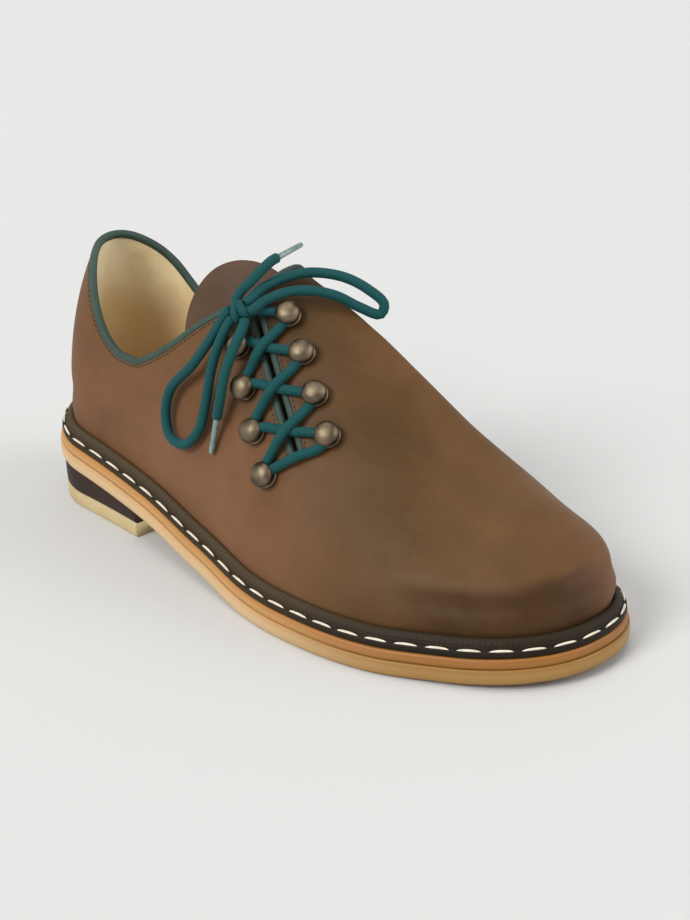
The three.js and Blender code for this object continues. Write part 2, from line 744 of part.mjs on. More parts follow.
// A ball eyelet: base washer, neck and dome, turned about the axis that stands out of the leather
function eyeletGeometry() {
  const dome = eyeletHeight - eyeletNeck - eyeletBaseThick;
  const lip = eyeletBaseThick + eyeletNeck;
  const profile = [
    [0, 0],
    [eyeletBase, 0],
    [eyeletBase, eyeletBaseThick],
    [eyeletNeckRadius, eyeletBaseThick],
    [eyeletNeckRadius, lip],
    [eyeletRadius, lip],
    [eyeletRadius * 0.90, lip + dome * 0.50],
    [eyeletRadius * 0.55, lip + dome * 0.86],
    [0, eyeletHeight],
  ];
  const turned = new THREE.LatheGeometry(profile.map(([x, y]) => new THREE.Vector2(x, y)), 10);
  turned.rotateX(Math.PI / 2);
  return turned;
}

function eyeletPlace(row, side) {
  const { frontAlong, frontAcross, rearAlong, rearAcross } = eyeletTable[row];
  const [along, across] = side === 'front' ? [frontAlong, frontAcross] : [rearAlong, rearAcross];
  return { along: along * slitLine.size, across: across * slitLine.size };
}

function framePoint([along, across, height]) {
  const { foot, up, out, across: aside } = slitLine;
  return foot.clone().addScaledVector(up, along).addScaledVector(aside, across).addScaledVector(out, height);
}

// A strand between two eyelets, from one named end to another, over or under the one that it crosses
function strand(fromRow, fromSide, fromEnd, toRow, toSide, toEnd, middleHeight) {
  const endOf = (row, side, name) => {
    const place = eyeletPlace(row, side);
    const offset = strandEnds[name];
    return [place.along + offset.along * eyeletRadius, place.across + offset.across * eyeletRadius];
  };
  const from = endOf(fromRow, fromSide, fromEnd);
  const to = endOf(toRow, toSide, toEnd);
  const heights = [strandLow, strandLow, middleHeight, strandLow, strandLow];
  const shares = [0, 0.18, 0.5, 0.82, 1];
  const points = shares.map((share, i) => {
    const along = THREE.MathUtils.lerp(from[0], to[0], share);
    const across = THREE.MathUtils.lerp(from[1], to[1], share);
    return slitPoint(along, across, heights[i]);
  });
  return tube(points, laceSize, 6);
}

// Two strands that cross between neighbouring rows of eyelets, joined where they touch
function laceCross(row) {
  const over = strand(row, 'rear', 'rearUp', row - 1, 'front', 'frontDown', strandHigh);
  const under = strand(row, 'front', 'frontUp', row - 1, 'rear', 'rearDown', strandLow);
  return toGeometry(toManifold(over).add(toManifold(under)));
}

function cordTube(points, steps) {
  return tube(points.map(framePoint), laceSize, steps);
}

// The stiff tip that follows a lace's end
function laceTip(points) {
  const last = framePoint(points[points.length - 1]);
  const along = last.clone().sub(framePoint(points[points.length - 2])).normalize();
  const start = last.clone().addScaledVector(along, seam);
  const end = start.clone().addScaledVector(along, tipLength);
  return tube([start, end], tipSize, 2);
}

function laceKnot() {
  const [along, across, height] = knotPlace;
  const ends = [-0.5, 0.5].map((share) => framePoint([along, across + share * knotLength, height]));
  return tube(ends, knotSize, 2, 10);
}

const group = new THREE.Group();
group.position.x = -heelLength / 2;

function addPiece(name, geometry, material) {
  const mesh = new THREE.Mesh(geometry, new THREE.MeshStandardMaterial({ name, ...materials[material] }));
  mesh.name = name;
  group.add(mesh);
  return mesh;
}

addPiece('outsole', soleSlab(0, outsoleTop, 0, 0.8), 'rubber');
addPiece('midsole', soleSlab(midsoleBase, midsoleTop, midsoleStep, 0.5), 'midsole');
addPiece('heel_wedge', heelBlock(() => heelLiftThick + seam, (x) => underside(x) - seam, heelStep), 'heel');
addPiece('heel_lift', heelBlock(() => 0, () => heelLiftThick, heelStep), 'lift');
addPiece('welt', weltGeometry(), 'welt');
addPiece('upper', upperGeometry(), 'upper');
addPiece('insole', insoleGeometry(), 'insole');
addPiece('collar_binding', tube(collarLine, bindingSize, collarSteps, 6), 'binding');
addPiece('slit_binding', tube(slitEdge, slitBindingSize, slitSteps, 6), 'binding');
addPiece('tongue', tongueGeometry(), 'tongue');

// Eyelets stand square on the leather in two rows of four, numbered from the throat down
for (let row = 0; row < eyeletTable.length; row += 1) {
  for (const side of ['front', 'rear']) {
    const { along, across } = eyeletPlace(row, side);
    const { turn, reach } = slitSpot(along, across);
    const out = upperNormal(turn, reach);
    const eyelet = addPiece(`eyelet_${side}_${row + 1}`, eyeletGeometry(), 'brass');
    eyelet.position.copy(layerPoint(turn, reach, -eyeletSeat));
    eyelet.quaternion.setFromUnitVectors(new THREE.Vector3(0, 0, 1), out);
  }
}

const lastRow = eyeletTable.length - 1;
addPiece('lace_bar', strand(lastRow, 'rear', 'rearBar', lastRow, 'front', 'frontBar', strandLow), 'lace');
for (let row = lastRow; row > 0; row -= 1) {
  addPiece(`lace_cross_${lastRow + 1 - row}`, laceCross(row), 'lace');
}
addPiece('lace_top', strand(0, 'front', 'frontUp', 0, 'rear', 'rearTop', strandLow), 'lace');
addPiece('lace_knot', laceKnot(), 'lace');
addPiece('lace_loop_left', cordTube(loopLeftPoints, 15), 'lace');
addPiece('lace_loop_right', cordTube(loopRightPoints, 14), 'lace');
addPiece('lace_end_down', cordTube(endDownPoints, 8), 'lace');
addPiece('lace_end_up', cordTube(endUpPoints, 6), 'lace');
addPiece('lace_tip_down', laceTip(endDownPoints), 'tip');
addPiece('lace_tip_up', laceTip(endUpPoints), 'tip');

export default group;
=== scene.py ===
import bmesh
import bpy
import math
import numpy as np
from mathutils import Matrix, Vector
from mathutils.kdtree import KDTree


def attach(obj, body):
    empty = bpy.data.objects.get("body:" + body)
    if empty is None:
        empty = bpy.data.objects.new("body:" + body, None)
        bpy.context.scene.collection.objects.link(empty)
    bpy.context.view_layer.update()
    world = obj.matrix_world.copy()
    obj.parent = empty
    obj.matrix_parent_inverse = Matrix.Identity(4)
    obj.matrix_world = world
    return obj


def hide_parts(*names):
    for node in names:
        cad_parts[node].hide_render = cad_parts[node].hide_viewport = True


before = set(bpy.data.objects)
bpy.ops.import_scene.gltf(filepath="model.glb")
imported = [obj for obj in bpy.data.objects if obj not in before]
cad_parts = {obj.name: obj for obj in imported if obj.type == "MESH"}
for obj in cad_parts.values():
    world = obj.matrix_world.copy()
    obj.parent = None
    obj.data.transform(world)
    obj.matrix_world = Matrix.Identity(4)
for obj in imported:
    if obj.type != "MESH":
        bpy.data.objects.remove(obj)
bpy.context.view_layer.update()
print("frame loaded")

mm = 0.001
heelMiddle = 40.0      # the frame's origin lies under the middle of the heel


# Camera
cameraSetup = {
    "location": (0.7126, -0.54428, 0.42812),
    "angles": (64.905, 1.397, 46.114),      # degrees, with the photo's slight roll
    "lens": 83.36,
}


def addCamera(setup):
    data = bpy.data.cameras.new("camera")
    data.lens = setup["lens"]
    data.sensor_width = 36
    data.clip_end = 20
    camera = bpy.data.objects.new("camera", data)
    camera.location = setup["location"]
    camera.rotation_euler = [math.radians(a) for a in setup["angles"]]
    bpy.context.scene.collection.objects.link(camera)
    bpy.context.scene.camera = camera


addCamera(cameraSetup)

# Last and sole, in millimetres
sole = {
    "length": 300, "ballWidth": 117.8, "heelWidth": 73.6, "heelPitch": 23, "toeSpring": 4,
    "toeTurn": 16.3, "heelLength": 80, "heelRound": 36, "toeRound": 85, "toePower": 2.25,
    "heelShare": 0.70, "heelLift": 7, "outsole": 6.5, "midsole": 4, "seam": 0.3,
    "midsoleStep": 0.8, "weltStep": 1.4, "heelStep": 1.6, "weltHeight": 7,
}
last = {
    "set": 7, "wall": 2.6, "instep": 101, "collar": 117, "throat": 129.5,
    "heelFold": 0.133, "toeFold": 0.150, "ridgeSoftness": 0.22,
    "slitFoot": (173, -26.09, 67.5), "slitUp": (-0.6655, 0.29063, 0.6875),
    "slitOut": (0.24236, -0.78703, 0.56731), "slitAcross": (0.70596, 0.54417, 0.45333),
    "slitSize": 70.55, "slitGap": 5.6,
}
outlineAt = [0, 0.12, 0.28, 0.42, 0.55, 0.62, 0.70, 0.78, 0.88, 1]
outlineOuter = [0.335, 0.350, 0.353, 0.385, 0.448, 0.474, 0.484, 0.475, 0.446, 0.450]
outlineInner = [0.335, 0.350, 0.285, 0.270, 0.365, 0.430, 0.492, 0.508, 0.462, 0.450]
undersideAt = [0, 0.27, 0.42, 0.58, 0.72, 0.86, 1]
undersidePitch = [1, 0.55, 0.22, 0, 0, 0, 0]
undersideSpring = [0, 0, 0, 0, 0, 0.25, 1]
ridgeAt = [0, 0.15, 0.30, 0.42, 0.50, 0.56, 0.62, 0.70, 0.78, 0.86, 0.94, 1]
ridgeRise = [0.916, 0.980, 1.008, 0.999, 0.940, 0.858, 0.736, 0.553, 0.419, 0.343, 0.282, 0.238]
ridgeAcross = [0, 0.032, 0.082, 0.140, 0.173, 0.186, 0.196, 0.203, 0.190, 0.171, 0.150, 0.130]
sectionAt = [0, 0.30, 0.50, 0.65, 0.85, 1]
sectionOuter = [1.93, 1.78, 1.48, 1.35, 1.96, 2.48]
sectionInner = [1.93, 2.26, 1.90, 1.75, 2.02, 2.48]
swellOuter = [0.004, 0.020, 0.015, 0.013, 0.014, 0.022]
swellInner = [0.004, 0.048, 0.018, 0.022, 0.026, 0.022]
collarAt = [0, 0.07, 0.10, 0.128, 0.15, 0.175, 0.21, 0.24, 0.275, 0.32, 0.355, 0.395, 0.432]
collarOuter = [1.010, 1.005, 0.958, 0.864, 0.778, 0.714, 0.680, 0.680, 0.720, 0.796, 0.870, 0.932, 0.975]
collarInner = [1.010, 1.008, 0.955, 0.880, 0.812, 0.752, 0.715, 0.722, 0.762, 0.868, 0.938, 1.002, 1.048]


def smoothColumn(xs, ys):
    xs, ys = np.array(xs, float), np.array(ys, float)
    steps = np.diff(xs)
    slopes = np.diff(ys) / steps
    tangents = np.zeros(len(xs))
    tangents[0], tangents[-1] = slopes[0], slopes[-1]
    for i in range(1, len(xs) - 1):
        if slopes[i - 1] * slopes[i] > 0:
            before, after = steps[i - 1], steps[i]
            a, b = 2 * after + before, after + 2 * before
            tangents[i] = (a + b) / (a / slopes[i - 1] + b / slopes[i])

    def valueAt(x):
        x = np.clip(x, xs[0], xs[-1])
        i = np.clip(np.searchsorted(xs, x, side="right") - 1, 0, len(xs) - 2)
        h = steps[i]
        t = (x - xs[i]) / h
        return ((1 + 2 * t) * (1 - t) ** 2 * ys[i] + t * (1 - t) ** 2 * h * tangents[i]
                + t * t * (3 - 2 * t) * ys[i + 1] + t * t * (t - 1) * h * tangents[i + 1])
    return valueAt


halfOuter, halfInner = smoothColumn(outlineAt, outlineOuter), smoothColumn(outlineAt, outlineInner)
pitchAt, springAt = smoothColumn(undersideAt, undersidePitch), smoothColumn(undersideAt, undersideSpring)
riseAt, acrossAt = smoothColumn(ridgeAt, ridgeRise), smoothColumn(ridgeAt, ridgeAcross)
fullOuter, fullInner = smoothColumn(sectionAt, sectionOuter), smoothColumn(sectionAt, sectionInner)
bulgeOuter, bulgeInner = smoothColumn(sectionAt, swellOuter), smoothColumn(sectionAt, swellInner)
edgeOuter, edgeInner = smoothColumn(collarAt, collarOuter), smoothColumn(collarAt, collarInner)
heelBlend = smoothColumn([0, 0.12, 0.45, 1], [1, 1, 0, 0])
toeShift = smoothColumn([0, 0.5, 1], [0, 0, 1])

midsoleBase = sole["outsole"] + sole["seam"]
midsoleTop = midsoleBase + sole["midsole"]
upperBase = midsoleTop + sole["seam"]
weltLine = upperBase + sole["weltHeight"]


def wrapTurn(turn):
    turn = np.asarray(turn, float)
    return np.where(turn > 1, turn - 2, np.where(turn < -1, turn + 2, turn))


def underside(x):
    share = x / sole["length"]
    return sole["heelPitch"] * pitchAt(share) + sole["toeSpring"] * springAt(share)


def outlinePoint(turn):
    turn = wrapTurn(turn)
    x = sole["length"] * (1 - np.cos(np.pi * turn)) / 2
    share = x / sole["length"]
    ratio = sole["heelWidth"] / (sole["heelShare"] * sole["ballWidth"])
    narrow = 1 + (ratio - 1) * heelBlend(share)
    heelArc = np.sqrt(np.clip(1 - (1 - x / sole["heelRound"]) ** 2, 0, None))
    rounding = np.where(x < sole["heelRound"], heelArc, 1.0)
    toward = np.clip((x - (sole["length"] - sole["toeRound"])) / sole["toeRound"], 0, 1)
    toeArc = (1 - toward ** sole["toePower"]) ** (1 / sole["toePower"])
    rounding = np.where(toward > 0, toeArc, rounding)
    half = np.where(turn < 0, halfOuter(share), halfInner(share))
    width = half * sole["ballWidth"] * rounding * narrow
    y = sole["toeTurn"] * toeShift(share) + np.where(turn < 0, -width, width)
    return np.stack([x, y], -1)


def outlineNormal(turn):
    step = 0.004
    along = outlinePoint(turn + step) - outlinePoint(turn - step)
    along = along / np.linalg.norm(along, axis=-1, keepdims=True)
    return np.stack([-along[..., 1], along[..., 0]], -1)


# Where on the outline, from 0 at the heel to 1 at the toe's tip, a place along the shoe lies
def turnAt(x):
    return math.acos(1 - 2 * x / sole["length"]) / math.pi


def inset(turn, distance):
    return outlinePoint(turn) - outlineNormal(turn) * np.asarray(distance, float)[..., None]


def upperPoint(turn, reach):
    turn = wrapTurn(turn)
    reach = np.asarray(reach, float)
    foot = inset(turn, np.full(np.shape(turn), last["set"], float))
    outer = turn < 0
    share = np.clip(foot[..., 0] / sole["length"], 0, 1)
    fold = last["heelFold"] * (1 - share) ** 3 - last["toeFold"] * share ** 3
    spineX = foot[..., 0] + sole["length"] * fold
    spineY = sole["ballWidth"] * acrossAt(spineX / sole["length"])
    left = 1 - reach
    soft = last["ridgeSoftness"]
    softened = (np.hypot(left, soft) - soft) / (np.hypot(1, soft) - soft)
    power = np.where(outer, fullOuter(share), fullInner(share))
    rise = np.clip(1 - softened ** power, 0, None) ** (1 / power)
    bulge = np.where(outer, bulgeOuter(share), bulgeInner(share))
    out = sole["ballWidth"] * bulge * np.sin(np.pi * rise) * left
    normal = outlineNormal(turn)
    x = foot[..., 0] + (spineX - foot[..., 0]) * reach + out * normal[..., 0]
    y = foot[..., 1] + (spineY - foot[..., 1]) * reach + out * normal[..., 1]
    z = underside(x) + weltLine + last["instep"] * riseAt(x / sole["length"]) * rise
    return np.stack([x, y, z], -1)


def upperNormal(turn, reach):
    step, reachStep = 0.006, 0.01
    turn = np.asarray(turn, float)
    reach = np.asarray(reach, float)
    along = upperPoint(wrapTurn(turn + step), reach) - upperPoint(wrapTurn(turn - step), reach)
    higher, lower = np.minimum(1, reach + reachStep), np.maximum(0, reach - reachStep)
    up = upperPoint(turn, higher) - upperPoint(turn, lower)
    normal = np.cross(up, along)
    size = np.linalg.norm(normal, axis=-1, keepdims=True)
    normal = np.where(size > 1e-4, normal / np.maximum(size, 1e-9), [0, 0, 1])
    return normal


slitFoot, slitUp = np.array(last["slitFoot"], float), np.array(last["slitUp"])
slitOut, slitAcross = np.array(last["slitOut"]), np.array(last["slitAcross"])


# A patch of the outer side, as heights over the slit's own plane
def sidePatch():
    turns, reaches = np.meshgrid(np.linspace(-0.72, -0.28, 160), np.linspace(0.02, 1, 160), indexing="ij")
    points = upperPoint(turns, reaches).reshape(-1, 3) - slitFoot
    normals = upperNormal(turns, reaches).reshape(-1, 3)
    return points @ slitUp, points @ slitAcross, points @ slitOut, normals


patchAlong, patchAcross, patchHeight, patchNormal = sidePatch()

# Eyelets from the throat down: along the slit and across it
eyeletTable = {
    "front": [(57.8, 12.7), (39.4, 14.3), (20.5, 14.7), (2.2, 14.7)],
    "rear": [(53.3, -10.6), (35.6, -13.3), (16.5, -14.9), (-2.7, -15.5)],
}


def slitPoint(along, across, height):
    distance = (patchAlong - along) ** 2 + (patchAcross - across) ** 2
    near = np.argsort(distance)[:8]
    near = near[patchHeight[near] > patchHeight[near].max() - 12]
    weight = 1 / (distance[near] + 0.05)
    weight /= weight.sum()
    base = patchHeight[near] @ weight
    normal = patchNormal[near].T @ weight
    normal /= np.linalg.norm(normal)
    point = slitFoot + slitUp * along + slitAcross * across + slitOut * base
    return point + normal * height, normal


def framePoint(along, across, height):
    return slitFoot + slitUp * along + slitAcross * across + slitOut * height


# Mesh helpers
def makeObject(name, points, faces, uvs=None):
    points = (np.asarray(points, float) - [heelMiddle, 0, 0]) * mm
    mesh = bpy.data.meshes.new(name)
    mesh.from_pydata(points.tolist(), [], [list(map(int, face)) for face in faces])
    if uvs is not None:
        layer = mesh.uv_layers.new(name="UVMap")
        layer.data.foreach_set("uv", np.asarray(uvs, float).ravel())
    mesh.validate()
    mesh.polygons.foreach_set("use_smooth", [True] * len(mesh.polygons))
    piece = bpy.data.objects.new(name, mesh)
    bpy.context.scene.collection.objects.link(piece)
    return piece


def mergeClose(piece, distance):
    work = bmesh.new()
    work.from_mesh(piece.data)
    bmesh.ops.remove_doubles(work, verts=work.verts, dist=distance * mm)
    bmesh.ops.recalc_face_normals(work, faces=work.faces)
    work.to_mesh(piece.data)
    work.free()


def vertexPoints(piece):
    flat = np.empty(len(piece.data.vertices) * 3)
    piece.data.vertices.foreach_get("co", flat)
    return flat.reshape(-1, 3) / mm + [heelMiddle, 0, 0]


# Writes one number at each point of a piece, for its material to read
def markPoints(piece, name, values):
    layer = piece.data.attributes.new(name, "FLOAT", "POINT")
    layer.data.foreach_set("value", np.asarray(values, np.float32))


def applyModifiers(piece):
    graph = bpy.context.evaluated_depsgraph_get()
    mesh = bpy.data.meshes.new_from_object(piece.evaluated_get(graph))
    piece.modifiers.clear()
    piece.data = mesh


def unit(vectors):
    return vectors / np.linalg.norm(vectors, axis=-1, keepdims=True)


def easeStep(share):
    return share * share * (3 - 2 * share)


def lengthsAlong(points):
    return np.r_[0, np.cumsum(np.linalg.norm(np.diff(points, axis=0), axis=1))]


def gridFaces(rows, columns, loopRows=False, loopColumns=False):
    faces = []
    for i in range(rows if loopRows else rows - 1):
        below, above = i * columns, (i + 1) % rows * columns
        for j in range(columns if loopColumns else columns - 1):
            k = (j + 1) % columns
            faces.append((below + j, below + k, above + k, above + j))
    return faces


# Frames that don't twist along a path: two directions across it at each point
def pathFrames(points):
    tangents = unit(np.gradient(points, axis=0))
    guess = np.array([0.0, 0, 1]) if abs(tangents[0][2]) < 0.9 else np.array([1.0, 0, 0])
    side = unit(np.cross(guess, tangents[0]))
    sides = np.zeros_like(points)
    for i, tangent in enumerate(tangents):
        side = unit(side - tangent * (side @ tangent))
        sides[i] = side
    return sides, np.cross(tangents, sides)


# A smooth curve through the points, in even steps
def catmull(points, step):
    points = np.asarray(points, float)
    padded = np.vstack([2 * points[0] - points[1], points, 2 * points[-1] - points[-2]])
    fine = []
    for i in range(1, len(padded) - 2):
        near = padded[i - 1:i + 3]
        knots = np.r_[0, np.cumsum(np.maximum(1e-6, np.linalg.norm(np.diff(near, axis=0), axis=1)) ** 0.5)]
        for t in np.linspace(knots[1], knots[2], 24, endpoint=False):
            def blend(first, second, start, end):
                return ((knots[end] - t) * first + (t - knots[start]) * second) / (knots[end] - knots[start])

            before, here, after = [blend(near[k], near[k + 1], k, k + 1) for k in range(3)]
            fine.append(blend(blend(before, here, 0, 2), blend(here, after, 1, 3), 1, 2))
    fine.append(padded[-2])
    return resample(np.array(fine), step)


def resample(points, step, closed=False):
    points = np.asarray(points, float)
    if closed:
        points = np.vstack([points, points[:1]])
    lengths = lengthsAlong(points)
    count = max(2, int(round(lengths[-1] / step)))
    fine = pointsAt(np.linspace(0, lengths[-1], count + 1), lengths, points)
    return fine[:-1] if closed else fine


def pointsAt(places, lengths, points):
    return np.stack([np.interp(places, lengths, points[:, k]) for k in range(3)], -1)


# A round tube along a path, with closed ends; its map runs round it, and along it in millimetres
def tubeMesh(points, radius, sides=20, closed=False):
    points = np.asarray(points, float)
    rows = len(points)
    radii = np.broadcast_to(np.asarray(radius, float), (rows,))
    side, up = pathFrames(points)
    angles = np.linspace(0, 2 * np.pi, sides, endpoint=False)
    ring = np.stack([np.cos(angles), np.sin(angles)], 1)
    rings = [points[i] + radii[i] * (ring[:, :1] * side[i] + ring[:, 1:] * up[i]) for i in range(rows)]
    lengths = lengthsAlong(np.vstack([points, points[:1]]))
    faces = gridFaces(rows, sides, closed, True)
    uvs = []
    for i in range(rows if closed else rows - 1):
        low, high = lengths[i], lengths[i + 1]
        for j in range(sides):
            left, right = j / sides, (j + 1) / sides
            uvs += [(left, low), (right, low), (right, high), (left, high)]
    if not closed:
        final = (rows - 1) * sides
        faces += [tuple(range(sides - 1, -1, -1)), tuple(range(final, final + sides))]
        uvs += [(j / sides, lengths[row]) for row in (0, rows - 1) for j in range(sides)]
    return np.vstack(rings), faces, uvs


def joinMeshes(parts):
    faces, offset = [], 0
    for verts, partFaces, _ in parts:
        faces += [tuple(v + offset for v in face) for face in partFaces]
        offset += len(verts)
    mapped = all(uvs is not None for _, _, uvs in parts)
    uvs = [uv for part in parts for uv in part[2]] if mapped else None
    return np.vstack([verts for verts, _, _ in parts]), faces, uvs


# A stitch of an edge or a seam: a short rod, thickest in its middle
def rodMesh(start, end, radius):
    shares = np.array([0, 0.08, 0.25, 0.5, 0.75, 0.92, 1])
    swell = np.array([0.45, 0.8, 1, 1.04, 1, 0.8, 0.45])
    return tubeMesh(start + (end - start) * shares[:, None], swell * radius, 6)


# A form turned round an axis, from its profile of radius and height
def turnedMesh(profile, centre, axis, sides=40):
    axis = np.asarray(axis, float)
    guess = np.array([0, 0, 1.0]) if abs(axis[2]) < 0.9 else np.array([1.0, 0, 0])
    right = unit(np.cross(guess, axis))
    front = np.cross(axis, right)
    angles = 2 * np.pi * np.arange(sides) / sides
    circle = np.cos(angles)[:, None] * right + np.sin(angles)[:, None] * front
    verts = np.vstack([centre + circle * radius + axis * height for radius, height in profile])
    return verts, gridFaces(len(profile), sides, False, True), None


# Materials
def linear(hexColour):
    channels = [int(hexColour[i:i + 2], 16) / 255 for i in (1, 3, 5)]
    return tuple(c / 12.92 if c <= 0.04045 else ((c + 0.055) / 1.055) ** 2.4 for c in channels) + (1,)


# The scale of a texture whose pattern is so many millimetres wide
def cells(size):
    return 1 / (size * mm)


def newMaterial(name):
    material = bpy.data.materials.new(name)
    material.use_nodes = True
    return material


# Gives each input a value, or a link from a socket or from a node's first output
def setInputs(material, node, inputs):
    for key, value in inputs.items():
        if isinstance(value, bpy.types.Node):
            value = next(output for output in value.outputs if output.enabled)
        if isinstance(value, bpy.types.NodeSocket):
            material.node_tree.links.new(value, node.inputs[key])
        else:
            node.inputs[key].default_value = value


# Adds a node with its inputs, the stops of its colour ramp and its settings
def addNode(material, kind, inputs, stops=(), **settings):
    node = material.node_tree.nodes.new("ShaderNode" + kind)
    for key, value in settings.items():
        setattr(node, key, value)
    setInputs(material, node, inputs)
    for _ in stops[2:]:
        node.color_ramp.elements.new(0.5)
    for i, (place, colour) in enumerate(stops):
        node.color_ramp.elements[i].position = place
        node.color_ramp.elements[i].color = linear(colour)
    return node


def setShader(material, inputs):
    setInputs(material, material.node_tree.nodes["Principled BSDF"], inputs)
    return material


# Widths of leather's patterns; real pores are about 0.2 mm wide and are drawn coarser, so that they show
leatherGrain = {"cloud": 62.5, "mottle": 14.3, "pore": 0.667, "wrinkle": 2.63, "scuff": (16.67, 2.0, 3.846)}


def leatherMaterial(name, base, light, dark, deep, roughness, grain=0.9, mottle=1.0, patches=(), gloss=0.22):
    material = newMaterial(name)
    where = addNode(material, "TexCoord", {}).outputs["Object"]
    cloud = addNode(material, "TexNoise", {"Vector": where, "Scale": cells(leatherGrain["cloud"]),
                                           "Detail": 5.0, "Roughness": 0.55, "Distortion": 0.5})
    patch = addNode(material, "TexNoise", {"Vector": where, "Scale": cells(leatherGrain["mottle"]),
                                           "Detail": 6.0, "Roughness": 0.62})
    tone = addNode(material, "ValToRGB", {"Fac": cloud}, [(0.32, dark), (0.50, base), (0.70, light)])
    fine = addNode(material, "ValToRGB", {"Fac": patch}, [(0.35, deep), (0.5, base), (0.68, light)])
    colour = addNode(material, "Mix", {"Factor": 0.22 * mottle, "A": tone, "B": fine}, data_type="RGBA")
    # Patches read from the mesh: on the upper and the lining they carry painted shade and painted light as
    # well as the hide's own tones
    for attribute, hexColour, share in patches:
        mask = addNode(material, "Attribute", {}, attribute_name=attribute).outputs["Fac"]
        ragged = addNode(material, "Math", {0: patch, 1: share, 2: share / 2}, operation="MULTIPLY_ADD")
        amount = addNode(material, "Math", {0: mask, 1: ragged}, operation="MULTIPLY", use_clamp=True)
        colour = addNode(material, "Mix", {"Factor": amount, "A": colour, "B": linear(hexColour)},
                         data_type="RGBA")
    pores = addNode(material, "TexVoronoi", {"Vector": where, "Scale": cells(leatherGrain["pore"])})
    wrinkles = addNode(material, "TexNoise", {"Vector": where, "Scale": cells(leatherGrain["wrinkle"]),
                                              "Detail": 5.0, "Roughness": 0.6})
    height = addNode(material, "Mix", {"Factor": 0.6, "A": pores, "B": wrinkles}, data_type="FLOAT")
    bump = addNode(material, "Bump", {"Strength": 0.20 * grain, "Distance": 0.4 * mm, "Height": height})
    rough = addNode(material, "MapRange", {"Value": patch, "From Min": 0.3, "From Max": 0.7,
                                           "To Min": roughness - 0.07, "To Max": roughness + 0.09})
    scuffScale = [cells(width) for width in leatherGrain["scuff"]]
    streaks = addNode(material, "Mapping", {"Vector": where, "Scale": scuffScale})
    scratch = addNode(material, "TexNoise", {"Vector": streaks, "Scale": 1.0, "Detail": 3.0,
                                             "Distortion": 1.2})
    worn = addNode(material, "MapRange", {"Value": scratch, "From Min": 0.62, "From Max": 0.80,
                                          "To Max": 0.16})
    colour = addNode(material, "Mix", {"Factor": worn, "A": colour, "B": linear(light)}, data_type="RGBA")
    return setShader(material, {"IOR": 1.45, "Specular IOR Level": gloss, "Base Color": colour,
                                "Roughness": rough, "Normal": bump})


def plainMaterial(name, base, light, roughness, cloudWidth=16.67, gloss=0.5):
    material = newMaterial(name)
    where = addNode(material, "TexCoord", {}).outputs["Object"]
    cloud = addNode(material, "TexNoise", {"Vector": where, "Scale": cells(cloudWidth), "Detail": 4.0})
    tone = addNode(material, "ValToRGB", {"Fac": cloud}, [(0.35, base), (0.65, light)])
    fine = addNode(material, "TexNoise", {"Vector": where, "Scale": cells(1.11), "Detail": 3.0})
    bump = addNode(material, "Bump", {"Strength": 0.15, "Distance": 0.3 * mm, "Height": fine})
    return setShader(material, {"Roughness": roughness, "Specular IOR Level": gloss, "Base Color": tone,
                                "Normal": bump})


# A sole's edge: its tone runs from the lower rim to the upper one, and from the heel to the toe, where
# painted shade makes it darker
def edgeMaterial(name, stops, shadedToeStops, roughness, gloss=0.4):
    material = newMaterial(name)
    where = addNode(material, "TexCoord", {}).outputs["Object"]
    layered = addNode(material, "Mapping", {"Vector": where, "Scale": (1, 1, 6)})
    cloud = addNode(material, "TexNoise", {"Vector": layered, "Scale": cells(22.2), "Detail": 5.0})
    level = addNode(material, "Attribute", {}, attribute_name="level").outputs["Fac"]
    # Painted shade: the edge turns to its darker toe tones towards the toe
    shadeTowardToe = addNode(material, "Attribute", {}, attribute_name="shadeTowardToe").outputs["Fac"]
    shifted = addNode(material, "Math", {0: cloud, 1: 0.24, 2: -0.12}, operation="MULTIPLY_ADD")
    total = addNode(material, "Math", {0: level, 1: shifted}, operation="ADD")
    heelTone = addNode(material, "ValToRGB", {"Fac": total}, stops)
    shadedToeTone = addNode(material, "ValToRGB", {"Fac": total}, shadedToeStops)
    tone = addNode(material, "Mix", {"Factor": shadeTowardToe, "A": heelTone, "B": shadedToeTone}, data_type="RGBA")
    fine = addNode(material, "TexNoise", {"Vector": layered, "Scale": cells(1.667), "Detail": 4.0})
    bump = addNode(material, "Bump", {"Strength": 0.12, "Distance": 0.3 * mm, "Height": fine})
    return setShader(material, {"Roughness": roughness, "IOR": 1.5, "Specular IOR Level": gloss,
                                "Base Color": tone, "Normal": bump})


# Turned brass, chemically aged: brown-grey metal with a blurred shine and small dents
def brassMaterial():
    material = newMaterial("agedTurnedBrass")
    where = addNode(material, "TexCoord", {}).outputs["Object"]
    cloud = addNode(material, "TexNoise", {"Vector": where, "Scale": cells(6.25), "Detail": 5.0})
    tone = addNode(material, "ValToRGB", {"Fac": cloud}, [(0.35, "#53483a"), (0.62, "#7f715c")])
    rough = addNode(material, "MapRange", {"Value": cloud, "From Min": 0.3, "From Max": 0.7,
                                           "To Min": 0.38, "To Max": 0.56})
    dents = addNode(material, "TexNoise", {"Vector": where, "Scale": cells(2.38), "Detail": 2.0})
    bump = addNode(material, "Bump", {"Strength": 0.22, "Distance": 0.6 * mm, "Height": dents})
    return setShader(material, {"Metallic": 1.0, "Base Color": tone, "Roughness": rough, "Normal": bump})


